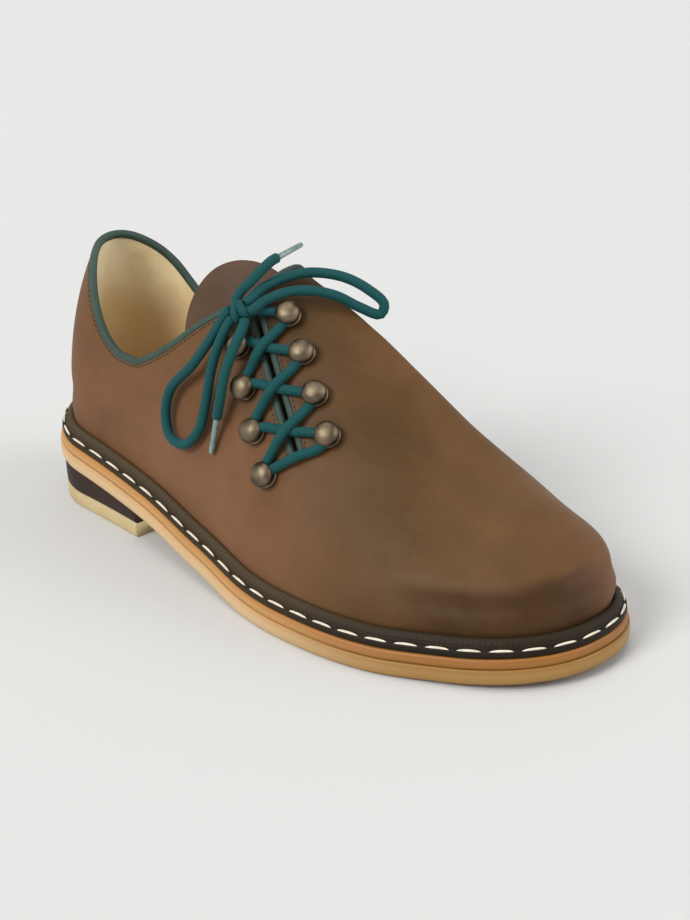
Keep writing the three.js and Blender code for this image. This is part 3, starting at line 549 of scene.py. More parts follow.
# Braided polyester lace: yarns cross in a diamond lattice, drawn from the tube's own map, 9 of them round it.
# The real yarns are 0.4 mm wide; the lattice is drawn at 1.25 mm along, so that it shows
def laceMaterial():
    material = newMaterial("braidedPolyesterLace")
    uv = addNode(material, "TexCoord", {}).outputs["UV"]
    split = addNode(material, "SeparateXYZ", {"Vector": uv})
    waves = []
    for turns in (1, -1):
        scaled = addNode(material, "Math", {0: split.outputs[0], 1: 9.0}, operation="MULTIPLY")
        along = addNode(material, "Math", {0: split.outputs[1], 1: turns / 1.25}, operation="MULTIPLY")
        total = addNode(material, "Math", {0: scaled, 1: along}, operation="ADD")
        angle = addNode(material, "Math", {0: total, 1: 2 * math.pi}, operation="MULTIPLY")
        waves.append(addNode(material, "Math", {0: angle}, operation="SINE"))
    lattice = addNode(material, "Math", {0: waves[0], 1: waves[1]}, operation="MAXIMUM")
    height = addNode(material, "MapRange", {"Value": lattice, "From Min": -0.6})
    # Painted shade and light: the grooves between the yarns are coloured darker and the yarns' crests lighter
    tone = addNode(material, "ValToRGB", {"Fac": height},
                   [(0.0, "#06292b"), (0.5, "#094143"), (1.0, "#0d5253")])
    bump = addNode(material, "Bump", {"Strength": 0.45, "Distance": 0.25 * mm, "Height": height})
    return setShader(material, {"Roughness": 0.75, "Specular IOR Level": 0.25, "Sheen Weight": 0.05,
                                "Sheen Roughness": 0.4, "Base Color": tone, "Normal": bump})


# Heat-shrunk acetate tip: half-clear, glossy, with the lace's green showing through
def tipMaterial():
    material = newMaterial("heatShrunkTip")
    where = addNode(material, "TexCoord", {}).outputs["Object"]
    cloud = addNode(material, "TexNoise", {"Vector": where, "Scale": cells(2.0), "Detail": 2.0})
    tone = addNode(material, "ValToRGB", {"Fac": cloud}, [(0.3, "#4f6f6b"), (0.7, "#7c9490")])
    return setShader(material, {"Roughness": 0.22, "IOR": 1.46, "Coat Weight": 1.0, "Coat Roughness": 0.05,
                                "Base Color": tone})


# Oiled cowhide, matt and waxy: cloudy olive patches, partly its own tone and partly painted shade; umber
# patches of painted shade on the toe, by the welt and on the instep; russet patches, partly its own tone and
# partly painted light
upperLeather = leatherMaterial("oiledCowhide", "#69492b", "#765536", "#583c21", "#49311a", 0.56,
                               patches=(("oliveAndShade", "#3b2a0b", 0.64), ("umberShade", "#38230d", 0.80),
                                        ("russetAndLight", "#805541", 0.45)))
# Unfinished split leather: a pale nap that scatters the light, painted darker and golden lower down as the
# shade inside the shoe
liningLeather = leatherMaterial("splitLeatherLining", "#f2e2bc", "#faefd2", "#e8d3a4", "#dabc84", 0.85,
                                1.3, 1.4, (("shadedLow", "#c49a4f", 0.42),), 0.15)
# The same oiled hide as the upper, darker and evener
tongueLeather = leatherMaterial("oiledTongueHide", "#563f2f", "#644b39", "#483425", "#3a291c", 0.54)
# Thin drum-dyed leather: grey-green, with the brown hide just showing through
bindingLeather = leatherMaterial("dyedBindingLeather", "#3b4d45", "#4a5f56", "#2d3c36", "#25322d", 0.5, 0.6)
# Vegetable-tanned leather: honey-coloured and matt
insoleLeather = leatherMaterial("vegetableTannedInsole", "#c2a469", "#d0b57d", "#a98a4a", "#97783b", 0.7, 0.6)
# Pressed leather board, trimmed and edge-inked: warm orange-tan with a darker line at its foot, and painted
# shade that darkens it towards the toe
midsoleLeather = edgeMaterial(
    "trimmedLeatherMidsole",
    [(0.0, "#94602f"), (0.12, "#b98c57"), (0.5, "#bd915c"), (0.8, "#b07b41"), (1.0, "#bb8548")],
    [(0.0, "#75481a"), (0.12, "#8f5f26"), (0.5, "#97662b"), (0.8, "#905a22"), (1.0, "#a46c2f")], 0.5)
# Natural rubber, ground on the wheel: satin beige, with painted shade that makes it darker and more yellow
# towards the toe
outsoleRubber = edgeMaterial(
    "groundCrepeRubber", [(0.0, "#b8976a"), (0.15, "#c9a97e"), (0.6, "#cdae84"), (1.0, "#c39a68")],
    [(0.0, "#7d581f"), (0.15, "#967038"), (0.6, "#9e7a44"), (1.0, "#906628")], 0.48)
# Moulded rubber welt: near black, lighter brown on its ribbed bead, with painted shade that darkens it
# towards the toe
weltRubber = edgeMaterial("mouldedRubberWelt", [(0.0, "#2f2417"), (0.5, "#362a1c"), (1.0, "#4a3d2c")],
                          [(0.0, "#1c150b"), (0.5, "#20180d"), (1.0, "#2c2214")], 0.58, 0.18)
# Moulded heel rubber: dull purple-brown that hardly shines
heelRubber = plainMaterial("mouldedHeelRubber", "#2a1c17", "#33231d", 0.6, gloss=0.25)
# Cast rubber top lift: pale straw, slightly speckled
liftRubber = plainMaterial("castRubberLift", "#b7a273", "#c3b084", 0.6)
# Waxed linen thread: off-white with a soft lustre
stitchThread = plainMaterial("waxedLinenThread", "#d0c7b0", "#e6dfcc", 0.7, 2.5)
# Spun polyester thread, dyed close to the hide
darkThread = plainMaterial("dyedPolyesterThread", "#2f241d", "#3a2d24", 0.7, 2.5)
antiqueBrass, braidedLace, clearTip = brassMaterial(), laceMaterial(), tipMaterial()
print("materials made")


# Lets a piece ride on the shoe, in place of the solids that it stands for
def finish(piece, material, slot, *replaced):
    if not piece.data.materials:
        piece.data.materials.append(material)
    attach(piece, "root")
    if replaced:
        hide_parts(*replaced)
    return piece


# A piece joined from one mesh or more, with near points merged where a distance is given
def addPiece(name, parts, material, slot, *replaced, merge=0):
    piece = makeObject(name, *joinMeshes(parts))
    if merge:
        mergeClose(piece, merge)
    return finish(piece, material, slot, *replaced)


# Laces and bow
lace = {"size": 4.3, "tipSize": 2.6, "tipLength": 17.0, "step": 1.6}
loopLeftRoute = [
    (86.1, -17.2, 114.8), (85.1, -18.1, 114), (81.7, -24.2, 104), (75.1, -30, 91.4), (63.7, -33.6, 77.9),
    (61.7, -35.4, 66.4), (66.1, -37.1, 58.1), (76.1, -37.7, 57.8), (83.8, -36, 66), (85.5, -32.6, 78.4),
    (85.8, -29.8, 89.6), (86.4, -25.7, 100.6), (88, -19.4, 111), (89, -18.5, 111.9),
]
loopRightRoute = [
    (91.3, -13.2, 118.1), (92.2, -12.3, 118.9), (92.9, -4.8, 122.7), (96.3, 6.4, 125.4), (100.1, 16.2, 125.4),
    (110.4, 24.4, 123.6), (119.2, 29.6, 118.9), (125.4, 32.3, 113.4), (125.2, 30.2, 109.5),
    (119.7, 23.7, 113), (113.8, 16.2, 118.6), (107.6, 8.7, 121.3), (101.6, 0.9, 121.5),
    (96.5, -7.6, 118.7), (95.1, -13.6, 115.9), (94.2, -14.5, 115.2),
]
endDownRoute = [(94, -16.9, 112.4), (94.7, -17.7, 111.3), (95.7, -25.8, 101.4), (95.3, -30.4, 91.7),
                (95.7, -33.5, 82.9), (94.3, -34.5, 74.4)]
endUpRoute = [(91.6, -17.0, 112.6), (89.0, -15.8, 115.6), (86.9, -14.8, 118.4), (87.6, -12.6, 122),
              (90.2, -9.0, 126), (92.1, -4.7, 130.2), (92.8, -0.1, 132.9), (92.4, 3.3, 133.3)]


def routePoints(route):
    return catmull(np.array(route, float) + [heelMiddle, 0, 0], lace["step"])


def laceCord(name, route, node):
    points = routePoints(route)
    piece = addPiece(name, [tubeMesh(points, lace["size"] / 2)], braidedLace, "lace", node)


def laceTip(name, route, node):
    points = routePoints(route)
    along = unit(points[-1] - points[-2])
    shares = np.array([0, 0.02, 0.06, 0.5, 0.9, 0.97, 1])
    radii = np.array([0.75, 0.98, 1, 0.97, 0.93, 0.8, 0.45]) * lace["tipSize"] / 2
    line = points[-1] + along * ((lace["tipLength"] + 1) * shares[:, None] - 1)
    return addPiece(name, [tubeMesh(line, radii, 16)], clearTip, "tip", node)


tipDown = laceTip("tipDown", endDownRoute, "lace_tip_down")
tipUp = laceTip("tipUp", endUpRoute, "lace_tip_up")
laceCord("endDown", endDownRoute, "lace_end_down")
laceCord("endUp", endUpRoute, "lace_end_up")
laceCord("loopLeft", loopLeftRoute, "lace_loop_left")
laceCord("loopRight", loopRightRoute, "lace_loop_right")

# The knot: one turn of lace round the bow's middle, in two rings of (shift, radius, tilt) over a thicker core
knot = {"at": (64.2, -3.2, 8.2), "rings": [(-1.4, 3.0, 0.25), (1.6, 2.9, -0.2)], "ringRadius": 1.75,
        "coreHalf": 3.6, "coreRadii": [1.4, 2.0, 2.5, 2.8, 2.9, 2.8, 2.5, 2.0, 1.4]}


def laceKnot():
    centre = framePoint(*knot["at"])
    around = np.linspace(0, 2 * np.pi, 40, endpoint=False)[:, None]
    parts = []
    for shift, size, tilt in knot["rings"]:
        ring = (centre + slitAcross * (shift + tilt * 3 * np.cos(around)) + slitUp * size * np.cos(around)
                + slitOut * size * 0.85 * np.sin(around))
        parts.append(tubeMesh(ring, knot["ringRadius"], 16, closed=True))
    core = centre + slitAcross * np.linspace(-knot["coreHalf"], knot["coreHalf"], 9)[:, None]
    parts.append(tubeMesh(core, knot["coreRadii"]))
    addPiece("knot", parts, braidedLace, "lace", "lace_knot")


laceKnot()

# One lace runs from the bar at the foot up both ways, over and under itself, and round every eyelet's post.
# Offsets from an eyelet (along the slit, across it): where the lace comes in, lies under the ball and leaves.
# The starts stand for the turns at the lowest eyelets; the leaves and knot ends carry a height too
lacing = {
    "radius": 2.05, "low": 2.3, "high": 5.0, "inside": 3.2, "bar": (-2.2, 1.0, 3.2),
    "turns": {"front": [(-4.6, -4.2), (-0.6, 0.6), (2.6, -4.6)],
              "rear": [(-0.8, 5.4), (0.6, -0.6), (5.2, 4.4)]},
    "starts": {"front": [(-4.2, -4.6), (-0.6, 0.6), (2.6, -4.6)],
               "rear": [(0.4, 5.6), (0.4, -0.8), (5.2, 4.4)]},
    "leaves": {"front": (2.6, -4.4, 2.6), "rear": (4.8, 4.2, 2.8)},
    "knotEnds": {"front": (61.5, -4.0, 5.4), "rear": (63.5, 0.5, 5.6)},
}


# The half of the lace that starts at the lowest eyelet of one side
def laceRoute(start):
    side = start
    route = [slitPoint(*lacing["bar"])[0]]
    for row in (3, 2, 1, 0):
        along, across = eyeletTable[side][row]
        offsets = lacing["starts" if row == 3 else "turns"][side]
        heights = (lacing["low"], lacing["inside"], lacing["low"])
        turn = [(*offset, height) for offset, height in zip(offsets, heights)]
        if row == 0:
            turn[2] = lacing["leaves"][side]
        route += [slitPoint(along + up, across + aside, height)[0] for up, aside, height in turn]
        if row > 0:
            height = lacing["low" if side == "front" else "high"]
            side = "rear" if side == "front" else "front"
            nextAlong, nextAcross = eyeletTable[side][row - 1]
            route.append(slitPoint((along + nextAlong) / 2 + 0.4, (across + nextAcross) / 2, height)[0])
    return route + [framePoint(*lacing["knotEnds"][start])]


laceWhole = catmull(laceRoute("front")[::-1] + laceRoute("rear")[1:], 1.0)
addPiece("laceThread", [tubeMesh(laceWhole, lacing["radius"], 18)], braidedLace, "lace",
         "lace_bar", "lace_cross_1", "lace_cross_2", "lace_cross_3", "lace_top")
print("laces made")

# Upper
upper = {"stations": 220, "reachSteps": 64, "wall": 2.2, "edgeShift": 1.2, "cornerRound": 3.0,
         "slitReach": 14, "easeBehind": -12, "easeRounds": 14}

# Soft forms of the worn leather, in millimetres: low places are troughs, high ones are ridges
toeShelf = {"height": 20.0, "soft": 4.2, "edge": 1.0, "hollow": 1.2, "hollowHeight": 11.0,
            "from": 222, "full": 262}
throatFlare = {"rise": 1.9, "soft": 9, "behind": 4, "outerEnd": -12, "outerFade": 14, "low": 100,
               "lowFade": 12}
# The leather dips under each eyelet (depth, width) and rises in a ring round it (height, distance, width)
eyeletBed = {"dip": (0.7, 6.5), "ring": (0.35, 10, 4.0)}
# Each crease: its middle, its direction, half its length, half its width and its depth
creases = [
    ((152, 5, 108), (0.55, 0.80, -0.10), 17, 4.0, 1.4), ((163, 2, 100), (0.62, 0.76, -0.10), 15, 4.0, 1.1),
    ((147, 14, 115), (0.75, 0.60, -0.25), 14, 4.0, 1.1), ((176, 0, 89), (0.72, 0.66, -0.15), 16, 6.0, 0.6),
    ((182, -12, 76), (0.85, 0.45, -0.30), 14, 6.0, 0.6), ((118, -25, 80), (-0.35, 0.10, 0.93), 16, 6.0, 0.7),
    ((102, -28, 66), (0.60, 0.05, 0.80), 20, 8.0, 0.8), ((22, -22, 52), (0.80, -0.55, 0.15), 16, 4.5, 0.9),
    ((24, -22, 43), (0.80, -0.58, 0.05), 14, 5.0, -0.5), ((70, -33, 55), (0.85, -0.10, 0.50), 22, 8.0, 0.6),
    ((214, -24, 44), (0.50, -0.60, -0.60), 20, 9.0, 0.5), ((222, 40, 48), (0.40, 0.70, -0.60), 20, 9.0, 0.5),
    ((205, 12, 66), (0.30, 0.95, 0.00), 26, 7.0, 0.35), ((90, 30, 70), (0.60, 0.00, 0.80), 20, 8.0, 0.6),
]


def toeShare(x):
    return easeStep(np.clip((x - toeShelf["from"]) / (toeShelf["full"] - toeShelf["from"]), 0, 1))


def toeWander(y):
    return 0.8 * np.sin(y * 0.11 + 0.6) + 0.35 * np.sin(y * 0.31 + 2.0)


def hill(distance, width):
    return np.exp(-(distance / width) ** 2)


# How far the leather stands out from the last's own form
def relief(points):
    x, y, z = points[..., 0], points[..., 1], points[..., 2]
    above = z - underside(x) - weltLine
    edge = hill(above - toeShelf["height"] - toeWander(y), toeShelf["soft"])
    hollow = hill(above - toeShelf["hollowHeight"], toeShelf["soft"])
    total = toeShare(x) * (toeShelf["edge"] * edge - toeShelf["hollow"] * hollow)
    flare = throatFlare
    near = np.clip(1 - (x - last["throat"]) / flare["soft"], 0, 1)
    front = np.clip((y - flare["outerEnd"]) / flare["outerFade"], 0, 1)
    high = np.clip((z - flare["low"]) / flare["lowFade"], 0, 1) * (x > last["throat"] - flare["behind"])
    total = total + flare["rise"] * near ** 2 * front * high
    for middle, direction, half, wide, deep in creases:
        offset = points - np.array(middle, float)
        along = unit(np.array(direction))
        lengthwise = offset @ along
        aside = np.linalg.norm(offset - lengthwise[..., None] * along, axis=-1)
        total = total - deep * hill(lengthwise, half) * hill(aside, wide)
    dip, dipWidth = eyeletBed["dip"]
    ring, ringAway, ringWidth = eyeletBed["ring"]
    for along, across in eyeletTable["front"] + eyeletTable["rear"]:
        away = np.linalg.norm(points - slitPoint(along, across, 0)[0], axis=-1)
        total = total - dip * hill(away, dipWidth) + ring * hill(away - ringAway, ringWidth)
    return total


def collarHeight(x, y):
    share = x / sole["length"]
    width = sole["heelWidth"] / 2 - last["set"]
    across = np.clip((y + width) / (2 * width), 0, 1)
    return last["collar"] * ((1 - across) * edgeOuter(share) + across * edgeInner(share))


def smoothMin(a, b, size):
    h = np.clip(0.5 + 0.5 * (b - a) / size, 0, 1)
    return b + (a - b) * h - size * h * (1 - h)


# Above zero where the leather is cut away: over the collar's edge and in the slit
def openField(points, shift=0.0):
    x, y, z = points[..., 0], points[..., 1], points[..., 2]
    overCollar = z - collarHeight(x, y) - shift
    behindThroat = last["throat"] - x - shift
    collar = smoothMin(overCollar, behindThroat, upper["cornerRound"])
    local = points - slitFoot
    along, across, out = local @ slitUp, local @ slitAcross, local @ slitOut
    nearest = np.maximum(along, 0)
    slit = last["slitGap"] / 2 - shift - np.hypot(across, along - nearest)
    slit = np.where(np.abs(out) < upper["slitReach"], slit, -50.0)
    return np.maximum(collar, slit)


def upperGrid():
    stations, steps = upper["stations"], upper["reachSteps"]
    turns = np.linspace(0, 1, stations + 1)
    reaches = 1 - np.cos(np.linspace(0, 1, steps + 1) * np.pi / 2)
    ringTurn, ringReach = [], []
    for turn in turns:
        inner = -turn if turn in (0.0, 1.0) else turn
        ringTurn.append(np.r_[np.full(steps + 1, -turn or -1e-9), np.full(steps, inner or -1e-9)])
        ringReach.append(np.r_[reaches, reaches[:-1][::-1]])
    ringTurn, ringReach = np.array(ringTurn), np.array(ringReach)
    points = upperPoint(ringTurn, ringReach)
    normals = upperNormal(ringTurn, ringReach)
    points = points + normals * relief(points)[..., None]
    # Below the feather line the wall goes straight down behind the welt
    drops = (sole["weltHeight"] - 0.3) * np.array([1, 0.75, 0.5, 0.25])
    outerSkirt = points[:, :1] - np.array([0, 0, 1]) * drops[None, :, None]
    innerSkirt = points[:, -1:] - np.array([0, 0, 1]) * drops[::-1][None, :, None]
    points = np.concatenate([outerSkirt, points, innerSkirt], axis=1)
    rows = len(drops)
    outerNormals, innerNormals = normals[:, :1].repeat(rows, 1), normals[:, -1:].repeat(rows, 1)
    normals = np.concatenate([outerNormals, normals, innerNormals], axis=1)
    return points, normals


# Cuts the grid where the field crosses zero, and keeps the side below zero
def clipGrid(points, field):
    rows, columns = field.shape
    flatPoints, flatField = points.reshape(-1, 3), field.ravel()
    verts, faces, index, crossings, rim = [], [], {}, {}, []

    def keep(i):
        if i not in index:
            index[i] = len(verts)
            verts.append(flatPoints[i])
        return index[i]

    def cross(i, j):
        key = (min(i, j), max(i, j))
        if key not in crossings:
            a, b = flatField[key[0]], flatField[key[1]]
            t = a / (a - b)
            crossings[key] = len(verts)
            verts.append(flatPoints[key[0]] * (1 - t) + flatPoints[key[1]] * t)
        return crossings[key]

    for i in range(rows - 1):
        for j in range(columns - 1):
            quad = (i * columns + j, i * columns + j + 1, (i + 1) * columns + j + 1, (i + 1) * columns + j)
            inside = [flatField[q] <= 0 for q in quad]
            if all(inside):
                faces.append(tuple(keep(q) for q in quad))
            elif any(inside):
                face, cuts = [], []
                for k in range(4):
                    a, b = quad[k], quad[(k + 1) % 4]
                    if inside[k]:
                        face.append(keep(a))
                    if inside[k] != inside[(k + 1) % 4]:
                        c = cross(a, b)
                        face.append(c)
                        cuts.append(c)
                faces.append(tuple(face))
                if len(cuts) == 2:
                    rim.append(tuple(cuts))
    return np.array(verts), faces, rim


def chainRim(rim):
    links = {}
    for a, b in rim:
        links.setdefault(a, []).append(b)
        links.setdefault(b, []).append(a)
    chains = []
    while links:
        start = next((k for k in links if len(links[k]) == 1), next(iter(links)))
        chain = [start]
        while True:
            here = chain[-1]
            if not links.get(here):
                break
            other = links[here].pop()
            links[other].remove(here)
            chain.append(other)
        for k in [k for k in links if not links[k]]:
            del links[k]
        chains.append(chain)
    return sorted(chains, key=len, reverse=True)


gridPoints, gridNormals = upperGrid()
gridField = openField(gridPoints, upper["edgeShift"])
upperVerts, upperFaces, upperRim = clipGrid(gridPoints, gridField)


# The lining is drawn smooth round the tight bend of the heel
def easeLining(piece, outerCount):
    work = bmesh.new()
    work.from_mesh(piece.data)
    bend = [v for v in work.verts if v.index >= outerCount and v.co.x < upper["easeBehind"] * mm]
    for _ in range(upper["easeRounds"]):
        bmesh.ops.smooth_vert(work, verts=bend, factor=0.5, use_axis_x=True, use_axis_y=True)
    work.to_mesh(piece.data)
    work.free()


def upperPiece():
    piece = makeObject("upperLeather", upperVerts, upperFaces)
    mergeClose(piece, 0.05)
    piece.data.materials.append(upperLeather)
    piece.data.materials.append(liningLeather)
    solid = piece.modifiers.new("wall", "SOLIDIFY")
    solid.thickness = upper["wall"] * mm
    solid.offset = -1
    solid.use_even_offset = True
    solid.material_offset = 1
    solid.material_offset_rim = 0
    outerCount = len(piece.data.vertices)
    applyModifiers(piece)
    easeLining(piece, outerCount)
    paintPatches(piece, vertexPoints(piece))
    finish(piece, upperLeather, "upper", "upper")


# Soft patches painted on the leather: olive ones partly the hide's tone and partly painted shade, umber ones
# painted shade, russet ones partly the hide's tone and partly painted light; middle, radii and strength of
# each soft patch
leatherPatches = {
    "oliveAndShade": [((223, -24, 48), (58, 34, 42), 1.0), ((198, -1, 76), (36, 22, 32), 1.0),
              ((240, 14, 52), (40, 28, 28), 0.7), ((150, 0, 108), (32, 26, 30), 0.95),
              ((262, 2, 40), (30, 26, 18), 0.8)],
    "umberShade": [((168, 8, 98), (20, 12, 12), 0.3), ((140, 12, 116), (12, 14, 10), 0.35),
              ((224, -42, 24), (46, 14, 9), 0.4)],
    "russetAndLight": [((110, -34, 50), (60, 18, 28), 1.0), ((162, -44, 32), (40, 20, 20), 0.9),
               ((40, -26, 60), (34, 18, 34), 0.85), ((284, 34, 36), (20, 16, 18), 0.6)],
}
# Painted shade on the toe below its shelf: it ends at the shelf, sharper on the inner side (y in
# millimetres), and fades out beyond it
paintedToeShade = {"strength": 0.95, "above": 1.0, "softAt": (-20, 12), "soft": (6.0, 2.4), "fadeAt": (12, 28),
            "fade": (1.0, 0.1)}
# Painted shade on the lining: darker and golden below this height, fading in over this depth, in millimetres
liningShade = {"top": 98, "fade": 22}


def paintPatches(piece, points):
    x, y, z = points.T
    for name, patches in leatherPatches.items():
        total = np.zeros(len(points))
        for middle, radii, strength in patches:
            offset = (points - np.array(middle, float)) / np.array(radii, float)
            total = np.maximum(total, strength * np.exp(-(offset ** 2).sum(axis=1)))
        # The umber mask also carries the painted shade on the toe below the shelf
        if name == "umberShade":
            above = z - underside(x) - weltLine
            soft = np.interp(y, paintedToeShade["softAt"], paintedToeShade["soft"])
            top = toeShelf["height"] + toeWander(y) + paintedToeShade["above"]
            shade = easeStep(np.clip((top - above) / soft, 0, 1))
            fade = np.interp(y, paintedToeShade["fadeAt"], paintedToeShade["fade"])
            total = np.maximum(total, paintedToeShade["strength"] * toeShare(x) * shade * fade)
        markPoints(piece, name, total)
    # Painted shade low inside the shoe, with a wavy upper edge
    shadeUpTo = liningShade["top"] + 5 * np.sin(x * 0.09 + y * 0.12)
    markPoints(piece, "shadedLow", easeStep(np.clip((shadeUpTo - z) / liningShade["fade"], 0, 1)))


upperPiece()
print("upper made")


def surfaceSearch():
    tree = KDTree(gridPoints[..., 0].size)
    for i, point in enumerate(gridPoints.reshape(-1, 3)):
        tree.insert(point, i)
    tree.balance()
    return tree


surfaceTree = surfaceSearch()
surfacePoints, surfaceNormals = gridPoints.reshape(-1, 3), gridNormals.reshape(-1, 3)


def surfaceNormalNear(point):
    near = surfaceTree.find_n(point, 6)
    weights = np.array([1 / (distance + 0.05) for _, _, distance in near])
    return unit(surfaceNormals[[i for _, i, _ in near]].T @ weights)


# The nearest place on the leather, and its normal
def dropToSurface(point):
    near = [i for _, i, _ in surfaceTree.find_n(point, 4)]
    normal = unit(surfaceNormals[near].mean(axis=0))
    return point + normal * ((surfacePoints[near] - point) @ normal).mean(), normal


def smoothClosed(points, rounds):
    for _ in range(rounds):
        points = points * 0.5 + (np.roll(points, 1, axis=0) + np.roll(points, -1, axis=0)) * 0.25
    return points


# The binding: a thin strip of leather folded over the edge, all the way round collar, throat and slit
binding = {"width": 2.3, "thick": 0.6, "step": 1.5}


def edgeLine():
    line = upperVerts[chainRim(upperRim)[0]]
    line = resample(line[:-1] if np.linalg.norm(line[0] - line[-1]) < 0.01 else line, 0.6, closed=True)
    return resample(smoothClosed(line, 10), binding["step"], closed=True)


rimLine = edgeLine()
rimNormal = unit(smoothClosed(np.array([surfaceNormalNear(point) for point in rimLine]), 4))
rimTangent = unit(np.roll(rimLine, -1, axis=0) - np.roll(rimLine, 1, axis=0))
rimAway = unit(np.cross(rimTangent, rimNormal))
fieldAhead, fieldBehind = (openField(rimLine + rimAway * side, upper["edgeShift"]) for side in (0.8, -0.8))
if np.median(fieldAhead - fieldBehind) < 0:
    rimAway = -rimAway


def bindingPiece():
    w, t, wall = binding["width"], binding["thick"], upper["wall"]
    outside = [(-w, -0.25), (-w + 0.12, 0.28), (-w + 0.5, t * 0.8), (-w * 0.55, t), (-0.5, t * 1.02),
               (0.25, t * 0.6), (0.65, -0.2)]
    inside = [(0.65, -wall + 0.2), (0.25, -wall - t * 0.6), (-0.5, -wall - t), (-w * 0.55, -wall - t),
              (-w + 0.5, -wall - t * 0.8), (-w + 0.12, -wall - 0.28), (-w, -wall + 0.25)]
    section = outside + [(0.8, -wall / 2)] + inside + [(-w * 0.5, -wall / 2)]
    verts = np.stack([rimLine + rimAway * a + rimNormal * b for a, b in section], 1).reshape(-1, 3)
    mesh = (verts, gridFaces(len(rimLine), len(section), True, True), None)
    addPiece("edgeBinding", [mesh], bindingLeather, "binding", "collar_binding", "slit_binding", merge=0.001)


bindingPiece()

# A row of short stitches that lies on the leather beside the binding
edgeSewing = {"away": binding["width"] + 1.0, "pitch": 2.3, "dash": 1.6, "thread": 0.28, "above": 0.06}


def edgeStitches():
    placed, ups = zip(*[dropToSurface(point) for point in rimLine - rimAway * edgeSewing["away"]])
    placed, ups = smoothClosed(np.array(placed), 2), smoothClosed(np.array(ups), 2)
    loop, loopUps = np.vstack([placed, placed[:1]]), np.vstack([ups, ups[:1]])
    lengths = lengthsAlong(loop)
    count = int(lengths[-1] / edgeSewing["pitch"])
    parts = []
    for i in range(count):
        places = i * lengths[-1] / count + np.array([0, edgeSewing["dash"]])
        ends = pointsAt(places, lengths, loop) + pointsAt(places, lengths, loopUps) * edgeSewing["above"]
        if np.linalg.norm(ends[1] - ends[0]) < edgeSewing["dash"] * 1.6:
            parts.append(rodMesh(ends[0], ends[1], edgeSewing["thread"]))
    addPiece("edgeStitches", parts, darkThread, "upper")


edgeStitches()

# The upper closes on the inner side with a lapped seam and two rows of stitches
sideSeam = {"from": 100, "lap": 9.0, "thick": 0.8, "rows": ((1.7, 0.85), (4.4, 0.68)),
            "pitch": 2.8, "dash": 2.0, "thread": 0.27}


def seamPoints(turn, reaches, ahead, height):
    perTurn = sole["length"] / 2 * math.pi * math.sin(math.pi * turn)      # millimetres along the shoe
    turns = np.full(len(reaches), turn + ahead / perTurn)
    points, normals = upperPoint(turns, reaches), upperNormal(turns, reaches)
    return points + normals * (relief(points) + height)[:, None]


def sideSeamPieces():
    turn = turnAt(sideSeam["from"])
    reaches = np.linspace(0.001, 1, 500)
    line = upperPoint(np.full(500, turn), reaches)
    inside = openField(line, upper["edgeShift"]) < -binding["width"] - 0.3
    edgeRow = int(np.argmin(inside)) - 1
    reaches, lengths = reaches[:edgeRow], lengthsAlong(line[:edgeRow])
    rows = np.interp(np.linspace(0, lengths[-1], 46), lengths, reaches)
    lap, thick = sideSeam["lap"], sideSeam["thick"]
    profile = [(0.0, -0.3), (0.0, thick * 0.8), (0.15, thick), (1.2, thick), (lap * 0.4, thick * 0.8),
               (lap * 0.7, thick * 0.4), (lap * 0.9, 0.08), (lap, -0.3)]
    verts = np.stack([seamPoints(turn, rows, ahead, height) for ahead, height in profile], 1).reshape(-1, 3)
    mesh = (verts, gridFaces(len(rows), len(profile), False, True), None)
    addPiece("sideSeam", [mesh], upperLeather, "upper", merge=0.001)
    parts = []
    for ahead, height in sideSeam["rows"]:
        for i in range(int((lengths[-1] - 1) / sideSeam["pitch"])):
            places = 1 + i * sideSeam["pitch"] + np.array([0, sideSeam["dash"]])
            start, end = seamPoints(turn, np.interp(places, lengths, reaches), ahead, height)
            parts.append(rodMesh(start, end, sideSeam["thread"]))
    addPiece("sideSeamStitches", parts, darkThread, "upper")


sideSeamPieces()
print("binding made")


# Tongue
tongue = {"thick": 2.0, "width": 56, "footWidth": 38, "rise": 23, "offset": -12, "drop": 8, "slack": 1.5,
          "slant": 1.12, "rows": 70, "columns": 48, "edgeRound": 0.6}


# The tongue's way under the leather: how far it lies below the slit's plane at each place across
def tongueDrop(levels):
    low, half = -tongue["drop"], tongue["width"] / 2
    sides = np.linspace(-half, half, 9)
    drops = []
    for side in sides:
        places = [low + (last["slitSize"] - low) * level for level in levels]
        heights = [(slitPoint(place, side + tongue["offset"], 0)[0] - slitFoot) @ slitOut for place in places]
        drops.append(last["wall"] * tongue["slant"] + tongue["slack"] - min(heights))
    return smoothColumn(sides, drops)


